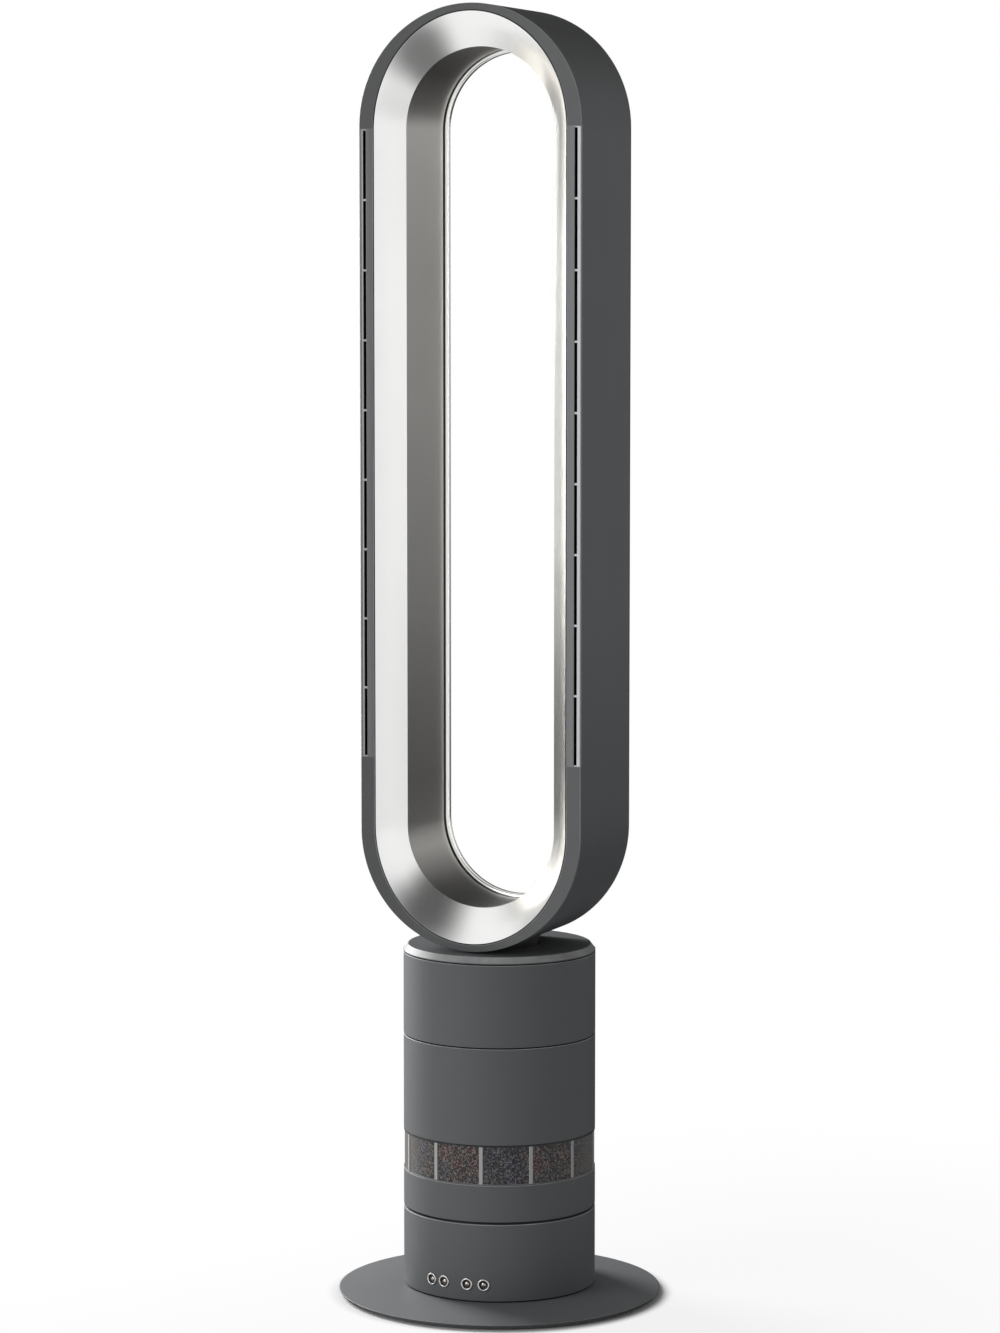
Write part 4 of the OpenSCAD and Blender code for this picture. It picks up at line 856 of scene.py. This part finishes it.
def housing(name, low, high, body, node, gap=SEAM_GAP):
    """A round shell with softened seam edges and a gap at its foot."""
    section = rounded([(IN_R, low + gap), (BODY_R, low + gap), (BODY_R, high), (IN_R, high)],
                      [0, SEAM_ROUND, SEAM_ROUND, 0])
    piece(name, [turned(section, ROUND_STEPS)], body, "slate", [node])


def on_wall(radius, angle, height):
    """Points of an upright round wall from angles off the front and heights."""
    return np.stack([radius * np.sin(angle), -radius * np.cos(angle), height + 0 * angle], -1)


def make_lower_housing():
    """The fixed shell: a round wall of rows and columns, from which a square round each hole is left out and
    filled by rings that run from the square to the hole's circle. Outer and inner skin match, and the holes'
    walls and the two rims join them."""
    button_half, gland_half, square_lines, widest = 5.9, 8.4, 13, 0.03
    holes = [(math.radians(a), BUTTON_Z, BEZEL_R + FIT, button_half) for a in BUTTONS_AT.values()]
    holes.append((math.pi, GLAND_Z, GLAND_R + FIT, gland_half))
    parts = [a + np.linspace(-1, 1, square_lines) * half / BODY_R for a, z, r, half in holes]
    columns = np.sort(np.concatenate(parts))
    gaps = np.diff(np.append(columns, columns[0] + 2 * math.pi))
    more = [c + g * np.arange(1, k) / k for c, g in zip(columns, gaps) for k in [math.ceil(g / widest)]]
    columns = np.sort(np.concatenate([columns, *more]))
    low, high = LOWER_LOW[2] + SEAM_GAP, LOWER_HIGH[2]
    bend = np.linspace(0, math.pi / 2, 5)
    foot_rows = np.append(low + SEAM_ROUND * (1 - np.cos(bend)), low + SEAM_ROUND + EDGE_HOLD)
    head_rows = np.append(high - SEAM_ROUND - EDGE_HOLD, high - SEAM_ROUND * (1 - np.sin(bend)))
    cut = np.array([z + s * half for a, z, r, half in (holes[0], holes[-1]) for s in (-1, 1)])
    middle = np.linspace(BUTTON_Z - button_half, BUTTON_Z + button_half, square_lines)
    plain_low, plain_high, plain_rows = 32, high - 3, 7
    plain = np.linspace(plain_low, plain_high, plain_rows)
    rows = np.unique(np.round(np.concatenate([foot_rows, cut, middle, plain, head_rows]), 5))
    drop = np.maximum(0, np.maximum(low + SEAM_ROUND - rows, rows - high + SEAM_ROUND)) / SEAM_ROUND
    skin_r = BODY_R - SEAM_ROUND * (1 - np.sqrt(np.maximum(0, 1 - drop ** 2)))
    n, m = len(columns), len(rows)
    angle, height = np.meshgrid(columns, rows, indexing="ij")
    skins = [on_wall(skin_r[None, :] + 0 * angle, angle, height), on_wall(IN_R, angle, height)]
    keep = np.ones((n, m - 1), bool)
    cells = np.arange(n * m).reshape(n, m)
    points, faces, count = [s.reshape(-1, 3) for s in skins], [], 2 * n * m
    for a, z, r, half in holes:
        near = np.abs((columns - a + math.pi) % (2 * math.pi) - math.pi) < half / BODY_R + 1e-6
        c = np.flatnonzero(near)
        if c[-1] - c[0] >= len(c):
            c = np.roll(c, -np.flatnonzero(np.diff(c) > 1)[0] - 1)
        q = np.flatnonzero(np.abs(rows - z) < half + 1e-4)
        keep[np.ix_(c[:-1], q[:-1])] = False
        loop = np.concatenate([cells[c, q[0]], cells[c[-1], q[1:]], cells[c[::-1][1:], q[-1]],
                               cells[c[0], q[::-1][1:-1]]])
        off = (angle.ravel()[loop] - a + math.pi) % (2 * math.pi) - math.pi
        rise = height.ravel()[loop] - z
        way = np.arctan2(rise, off * BODY_R)
        k, steps = len(loop), 4
        circles = []
        for layer, radius in enumerate((BODY_R, IN_R)):
            share = (np.arange(1, steps + 1) / steps)[:, None]
            off_hole = np.arcsin(r * np.cos(way) / radius)
            ring = on_wall(radius, a + off * (1 - share) + off_hole * share,
                           z + rise * (1 - share) + r * np.sin(way) * share)
            points.append(ring.reshape(-1, 3))
            index = count + np.arange(steps * k).reshape(steps, k)
            index = np.concatenate([loop[None] + layer * n * m, index])
            on = np.roll(index, -1, 1)
            faces.append(np.stack([index[:-1], on[:-1], on[1:], index[1:]], -1).reshape(-1, 4))
            circles.append(index[-1])
            count += steps * k
        outer, inner = circles
        faces.append(np.stack([outer, np.roll(outer, -1), np.roll(inner, -1), inner], 1))
    body = quads(n, m, True, False, keep)
    faces += [body, body + n * m]
    for edge in (0, m - 1):
        line = cells[:, edge]
        faces.append(np.stack([line, np.roll(line, -1), np.roll(line, -1) + n * m, line + n * m], 1))
    piece("lower_shell", [(np.concatenate(points), np.concatenate(faces))], "base", "slate",
          ["lower_housing"])


def paint_bevel_highlight(cap, low):
    """Marks the cap's bevel for an almost full painted highlight, where its faces lean between up and out."""
    points = np.empty(len(cap.data.vertices) * 3)
    cap.data.vertices.foreach_get("co", points)
    lean = np.empty(len(points))
    cap.data.vertices.foreach_get("normal", lean)
    points, lean = points.reshape(-1, 3) / MM, lean.reshape(-1, 3)
    flattest, steepest, bevel_highlight, reach = 0.3, 0.9, 0.95, IN_R - 4
    leaning = (lean[:, 2] > flattest) & (lean[:, 2] < steepest)
    on_bevel = (points[:, 2] > low) & leaning & (np.hypot(points[:, 0], points[:, 1]) > reach)
    mask = cap.data.attributes["edge"].data
    held = np.empty(len(mask))
    mask.foreach_get("value", held)
    mask.foreach_set("value", np.where(on_bevel, bevel_highlight, held).astype(np.float32))


def make_body():
    """The turning housings, the bevelled cap and the foot disc, all turned profiles."""
    housing("collar_shell", COLLAR_LOW[2], BAND_LOW[2], "tower", "lower_collar")
    housing("mid_shell", BAND_HIGH[2], UPPER_LOW[2], "tower", "mid_housing", 0.3)
    housing("upper_shell", UPPER_LOW[2], UPPER_HIGH[2], "tower", "upper_housing")
    low, top = UPPER_HIGH[2], CAP_HIGH[2]
    neck_gap, sunk, clear = 0.3, 1.0, 0.02
    hole = NECK_R + neck_gap
    cap = rounded([(hole, top), (hole, top - WALL), (IN_R, top - WALL), (IN_R, low + SEAM_GAP),
                   (BODY_R, low + SEAM_GAP), (BODY_R, low + CAP_EDGE), (BODY_R - CAP_BEVEL, top)],
                  [0.2, 0, 0.5, 0, SEAM_ROUND, 0.6, 0.5])
    made = piece("cap_shell", [turned(cap, ROUND_STEPS)], "tower", "slate", ["top_cap"])
    # Painted highlight on the cap's bevel, as light from above would give it.
    paint_bevel_highlight(made, low + CAP_EDGE)
    hub, cover_r, skirt_r = 20, 92.3, FOOT_R - 5.7
    hollow, under, rest = 5.4, 3.0, 1.5
    disc = rounded([(hub, hollow), (cover_r, hollow), (cover_r, under), (skirt_r, under), (skirt_r, rest),
                    (FOOT_R - 1.9, rest), (FOOT_R, 3.9), (FOOT_R, 4.3), (BODY_R, FOOT_TOP), (hub, FOOT_TOP)],
                   [0, 0, 0, 0, 0.3, 0.3, 0.5, 0.5, 0, 0])
    disc = turned(disc, ROUND_STEPS, tube=False)
    piece("foot_plate", [disc], "base", "foot", ["foot_disc"])
    # Painted shadow: near black rings sunk in the seams below and above the upper housing and in the gap
    # above the foot.
    inner, outer = IN_R - sunk, BODY_R - sunk
    for name, body, levels in (("seam_bands", "tower", (UPPER_LOW[2], UPPER_HIGH[2])),
                               ("foot_band", "base", (LOWER_LOW[2],))):
        shapes = [turned([(inner, z + clear), (outer, z + clear), (outer, z + SEAM_GAP - clear),
                          (inner, z + SEAM_GAP - clear)], ROUND_STEPS) for z in levels]
        piece(name, shapes, body, "pit")


def make_neck():
    """A round wall whose upper edge follows the underside of the loop: at a distance x off the middle, a
    round end of the loop's half width rises by that width less the root of its square less x squared."""
    half = LOOP_W / 2
    steps = 192
    a = np.linspace(0, 2 * math.pi, steps, endpoint=False)[:, None]
    low = span("neck")[0][2]
    section = []
    for r, share in ((NECK_R, 0.0), (NECK_R, 0.5), (NECK_R, 1.0), (NECK_R - NECK_WALL, 1.0),
                     (NECK_R - NECK_WALL, 0.0)):
        top = LOOP_LOW[2] + half - np.sqrt(half ** 2 - (r * np.sin(a)) ** 2)
        section.append(np.stack([r * np.sin(a), -r * np.cos(a), low + (top - low) * share], -1))
    piece("neck_tube", [torus(np.concatenate(section, 1))], "tower", "neck", ["neck"])


def make_band():
    """Dividers, rings and woven panels of the intake. A panel's skin swells and sinks as two sets of threads
    cross: its height is the product of a wave round the body and a wave up it."""
    low, high = BAND_LOW[2], BAND_HIGH[2]
    out = BAND_HIGH[0]
    inside = BODY_R - BAND_DEPTH
    lower, upper = (turned(rounded([(inside, z), (out, z), (out, z + BAND_RING_H), (inside, z + BAND_RING_H)],
                                   [0, 0.15, 0.15, 0]), ROUND_STEPS) for z in (low, high - BAND_RING_H))
    bars = []
    wide, face, soft = DIVIDER_W / 2, out - 0.02, 0.35
    plan = rounded([(-wide, inside), (wide, inside), (wide, face), (-wide, face)], [0, 0, soft, soft], 4)
    for i in range(PANEL_N):
        a = math.radians(DIVIDER_AT + 90 + 360 / PANEL_N * i)
        x = plan[:, 0] * math.cos(a) + plan[:, 1] * math.sin(a)
        y = plan[:, 0] * math.sin(a) - plan[:, 1] * math.cos(a)
        ends = [np.stack([x, y, np.full(len(x), z)], 1) for z in (low + BAND_RING_H, high - BAND_RING_H)]
        bars.append(capped(np.stack(ends)))
    piece("band_bars", bars, "tower", "divider", ["intake_grille"])
    piece("band_low_ring", [lower], "tower", "slate")
    # Painted shadow: the ring along the band's top edge is dark.
    piece("band_top_ring", [upper], "tower", "dark")
    thick, swell, thread, columns, rows = 0.5, 0.13, 1.4, 76, 60
    half = math.radians(180 / PANEL_N) - (wide + FIT) / BODY_R
    a = np.linspace(-half, half, columns)
    z = np.linspace(low + BAND_RING_H, high - BAND_RING_H, rows)
    solid = np.ones((columns - 1, rows - 1), bool)
    ahead = PANEL_N // 2
    for name, chosen in (("mesh_front", range(ahead)), ("mesh_back", range(ahead, PANEL_N))):
        shapes, uvs = [], []
        for i in chosen:
            at = math.radians(DIVIDER_AT + 90 + 360 / PANEL_N * (i + 0.5))
            angle, height = np.meshgrid(a + at, z, indexing="ij")
            wave = np.cos(math.pi * angle * MESH_R / thread) * np.cos(math.pi * height / thread)
            skin = on_wall(MESH_R + swell * wave, angle, height)
            shapes.append(cut_sheet(skin, on_wall(MESH_R - thick, angle, height), solid, False))
            flat = np.stack([angle.ravel() * MESH_R * MM, height.ravel() * MM], 1)
            uvs.append(np.tile(flat, (2, 1))[shapes[-1][1]].reshape(-1, 2))
        piece(name, shapes, "tower", "mesh", ["intake_mesh"], uvs=np.concatenate(uvs), sharp=60)


def make_buttons():
    """Chrome rings in the housing, and in each a dark dished button with a small metal dome. The dome's
    radius is the sine and its rise the cosine of the same angle, each times its own size."""
    front, dome_r = BODY_R, 2.0
    bore, ring_deep, soft = BUTTON_R + FIT, 3, 0.5
    ring = rounded([(bore, front - ring_deep), (BEZEL_R, front - ring_deep), (BEZEL_R, front + BEZEL_PROUD),
                    (bore, front + BEZEL_PROUD)], [0, 0, soft, soft])
    shapes = [outward(turned(ring, 64), a, BUTTON_Z) for a in BUTTONS_AT.values()]
    piece("button_rings", shapes, "base", "chrome", ["button_bezels"])
    middle, deep, dished, proud, small = 0.4, 2.6, 0.6, 0.05, 0.1
    crest, crest_in, slope_r, slope = BUTTON_R - 0.12, BUTTON_R - 0.35, 2.45, 0.5
    dish = [(middle, front - deep), (BUTTON_R - small, front - deep), (BUTTON_R, front - deep + 2 * small),
            (BUTTON_R, front - small), (crest, front + proud), (crest_in, front + proud),
            (slope_r, front - slope), (dome_r, front - dished), (middle, front - dished)]
    dome_foot, dome_rise, tip, bows = 0.65, 0.95, 0.06, 9
    under = front - dome_foot - proud
    bow = np.linspace(tip, math.pi / 2, bows)[::-1]
    dome = np.stack([dome_r * np.sin(bow), front - dome_foot + dome_rise * np.cos(bow)], 1)
    dome = np.concatenate([[(small, under), (dome_r, under)], dome])
    dish, dome = (turned(profile, 48, tube=False) for profile in (dish, dome))
    for name, a in BUTTONS_AT.items():
        key = name + "_key"
        piece(name + "_cap", [outward(dish, a, BUTTON_Z)], key, "dark", [name + "_button"])
        piece(name + "_dome", [outward(dome, a, BUTTON_Z)], key, "dome")


def make_gland():
    """The cord's grommet at the back, with a stepped collar and its bore."""
    front = BODY_R
    tail, flange, collar, inlet = 4.9, 6.2, 4.9, 5.2
    wall, lap, rise = 3, 0.35, 0.8
    gland = rounded([(CORD_R, front - tail), (flange, front - tail), (flange, front - wall),
                     (collar, front - wall), (collar, front - lap), (GLAND_R, front - lap),
                     (GLAND_R, front + rise), (inlet, front + GLAND_PROUD), (CORD_R, front + GLAND_PROUD)],
                    [0, 0.2, 0, 0, 0, 0, 0.4, 0.4, 0.4])
    gland = outward(turned(gland, 64), 180, GLAND_Z)
    piece("cord_gland", [gland], "base", "rubber", ["cord_grommet"])


def make_underside():
    """Six rubber feet with a soft edge and a shallow hollow."""
    count, steps, pad_r, high, middle, ridge, inner, hollow = 6, 40, 7, 1.4, 0.5, 4.6, 4.0, 0.3
    pad = rounded([(middle, high), (pad_r, high), (pad_r, 0), (ridge, 0), (inner, hollow), (middle, hollow)],
                  [0, 0, 0.4, 0.25, 0.2, 0])
    pad = turned(pad[::-1], steps, tube=False)
    at = span("rubber_feet")[1][0] - pad_r
    ways = np.radians(360 / count * np.arange(count))
    shapes = [moved(pad, (at * math.cos(a), at * math.sin(a), 0)) for a in ways]
    piece("foot_pads", shapes, "base", "rubber", ["rubber_feet"])


def make_stage():
    """A pale square floor that keeps the shadow near the foot and fades to white further out. Gloss looks
    through it."""
    size = 6.0
    mesh = bpy.data.meshes.new("floor")
    corners = [(-size, -size, 0), (size, -size, 0), (size, size, 0), (-size, size, 0)]
    mesh.from_pydata(corners, [], [(0, 1, 2, 3)])
    floor = added("floor", mesh)
    material = bpy.data.materials.new("floor_pale")
    tree = emptied(material)
    matt = wire(tree, "BsdfDiffuse", {"Color": (0.8, 0.8, 0.8, 1)}).outputs[0]
    glow = wire(tree, "Emission", {"Color": (1, 1, 1, 1), "Strength": 1.0}).outputs[0]
    clear = wire(tree, "BsdfTransparent").outputs[0]
    place = wire(tree, "TexCoord").outputs["Object"]
    far = wire(tree, "VectorMath", {0: place}, operation="LENGTH").outputs["Value"]
    foot, shadow, near, away, grey = FOOT_R * MM, 0.012, 0.17, 0.8, 0.84
    white = calc(tree, "MULTIPLY", fade(tree, far, near, away, grey), fade(tree, far, foot, foot + shadow))
    path = wire(tree, "LightPath").outputs
    seen = calc(tree, "MULTIPLY", path["Is Camera Ray"], white)
    mixed = wire(tree, "MixShader", {0: seen, 1: matt, 2: glow}).outputs[0]
    last = wire(tree, "MixShader", {0: path["Is Glossy Ray"], 1: mixed, 2: clear}).outputs[0]
    wire(tree, "OutputMaterial", {"Surface": last})
    mesh.materials.append(material)


def make_world():
    """Soft even light for the surfaces, weaker from above. The camera sees white, and gloss sees a white
    studio with an unlit patch behind the object, a few unlit corners, and dim bands low at the back, high at
    the left and low at the right. What is left of the light is the product of all that each one leaves."""
    world = bpy.data.worlds.new("studio")
    bpy.context.scene.world = world
    tree = emptied(world)
    place = wire(tree, "TexCoord").outputs["Generated"]
    way = axes(tree, place)
    x, y, z = way["X"], way["Y"], way["Z"]
    flat = vector(tree, "MULTIPLY", place, (1.0, 1.0, 0.5))[0]
    flat = wire(tree, "VectorMath", {0: flat}, operation="NORMALIZE").outputs[0]

    def toward(source, aim):
        return vector(tree, "DOT_PRODUCT", source, aim)["Value"]

    def both(first, second):
        return calc(tree, "MULTIPLY", first, second)

    low_back = both(fade(tree, z, -0.05, -0.12), fade(tree, y, 0.38, 0.5, 0.0, 0.75))
    left_band = both(fade(tree, z, -0.01, 0.05), fade(tree, z, 0.6, 0.35))
    high_left = both(left_band, fade(tree, x, -0.5, -0.8, 0.0, 0.45))
    low_right = both(fade(tree, z, -0.08, -0.16), fade(tree, x, 0.7, 0.9, 0.0, 0.2))
    down_back = both(fade(tree, z, 0.06, -0.16), fade(tree, y, 0.6, 0.8, 0.0, 0.62))
    patch = fade(tree, toward(flat, BEHIND), 0.77, 0.97, 0.0, 0.95)
    dims = [patch, low_back, high_left, low_right, down_back]
    dims += [fade(tree, toward(place, aim), wide, near, 0.0, deep) for aim, deep, wide, near in CORNERS]
    lit = 1.0
    for dim in dims:
        lit = both(lit, calc(tree, "SUBTRACT", 1.0, dim))
    path = wire(tree, "LightPath").outputs
    shiny = calc(tree, "MAXIMUM", path["Is Glossy Ray"], path["Is Transmission Ray"])
    even = fade(tree, z, 0.2, 0.9, AMBIENT, AMBIENT * 0.55)
    level = calc(tree, "ADD", both(shiny, lit), both(calc(tree, "SUBTRACT", 1.0, shiny), even))
    level = calc(tree, "MAXIMUM", level, path["Is Camera Ray"])
    sky = wire(tree, "Background", {"Color": (1, 1, 1, 1), "Strength": level}).outputs[0]
    wire(tree, "OutputWorld", {"Surface": sky})


def lamp(name, place, aim, size, power):
    """A soft light of the given width and height at a place in metres, turned towards its aim."""
    data = bpy.data.lights.new(name, "AREA")
    data.shape = "RECTANGLE"
    data.size, data.size_y = size
    data.energy = power
    made = added(name, data)
    made.location = place
    way = np.array(place, float) - np.array(aim, float)
    tilt = math.acos(way[2] / np.linalg.norm(way))
    made.rotation_euler = (tilt, 0, math.atan2(way[1], way[0]) + math.pi / 2)


def make_camera():
    """The photograph's viewpoint, worked out from its outlines."""
    data = bpy.data.cameras.new("view")
    focal_px, long_side_px, sensor = 4068.3, 1333, 36.0
    data.sensor_width = sensor
    data.lens = focal_px * sensor / long_side_px
    made = added("view", data)
    made.location = (1.2307, -2.8937, 0.7927)
    made.rotation_euler = (math.radians(84.566), 0, math.radians(23.033))
    bpy.context.scene.camera = made


dress_frame()
make_rim()
make_slot_strips()
make_loop()
make_lower_housing()
make_body()
make_neck()
make_band()
make_buttons()
make_gland()
make_underside()
make_stage()
make_world()
lamp("side", (-1.2, 0.48, 0.85), (0, 0, 0.3), (0.6, 1.1), 32)
lamp("front", (-1.6, -2.6, 1.3), (0, 0, 0.5), (1.6, 1.6), 36)
make_camera()
bpy.context.scene.view_settings.view_transform = "Standard"
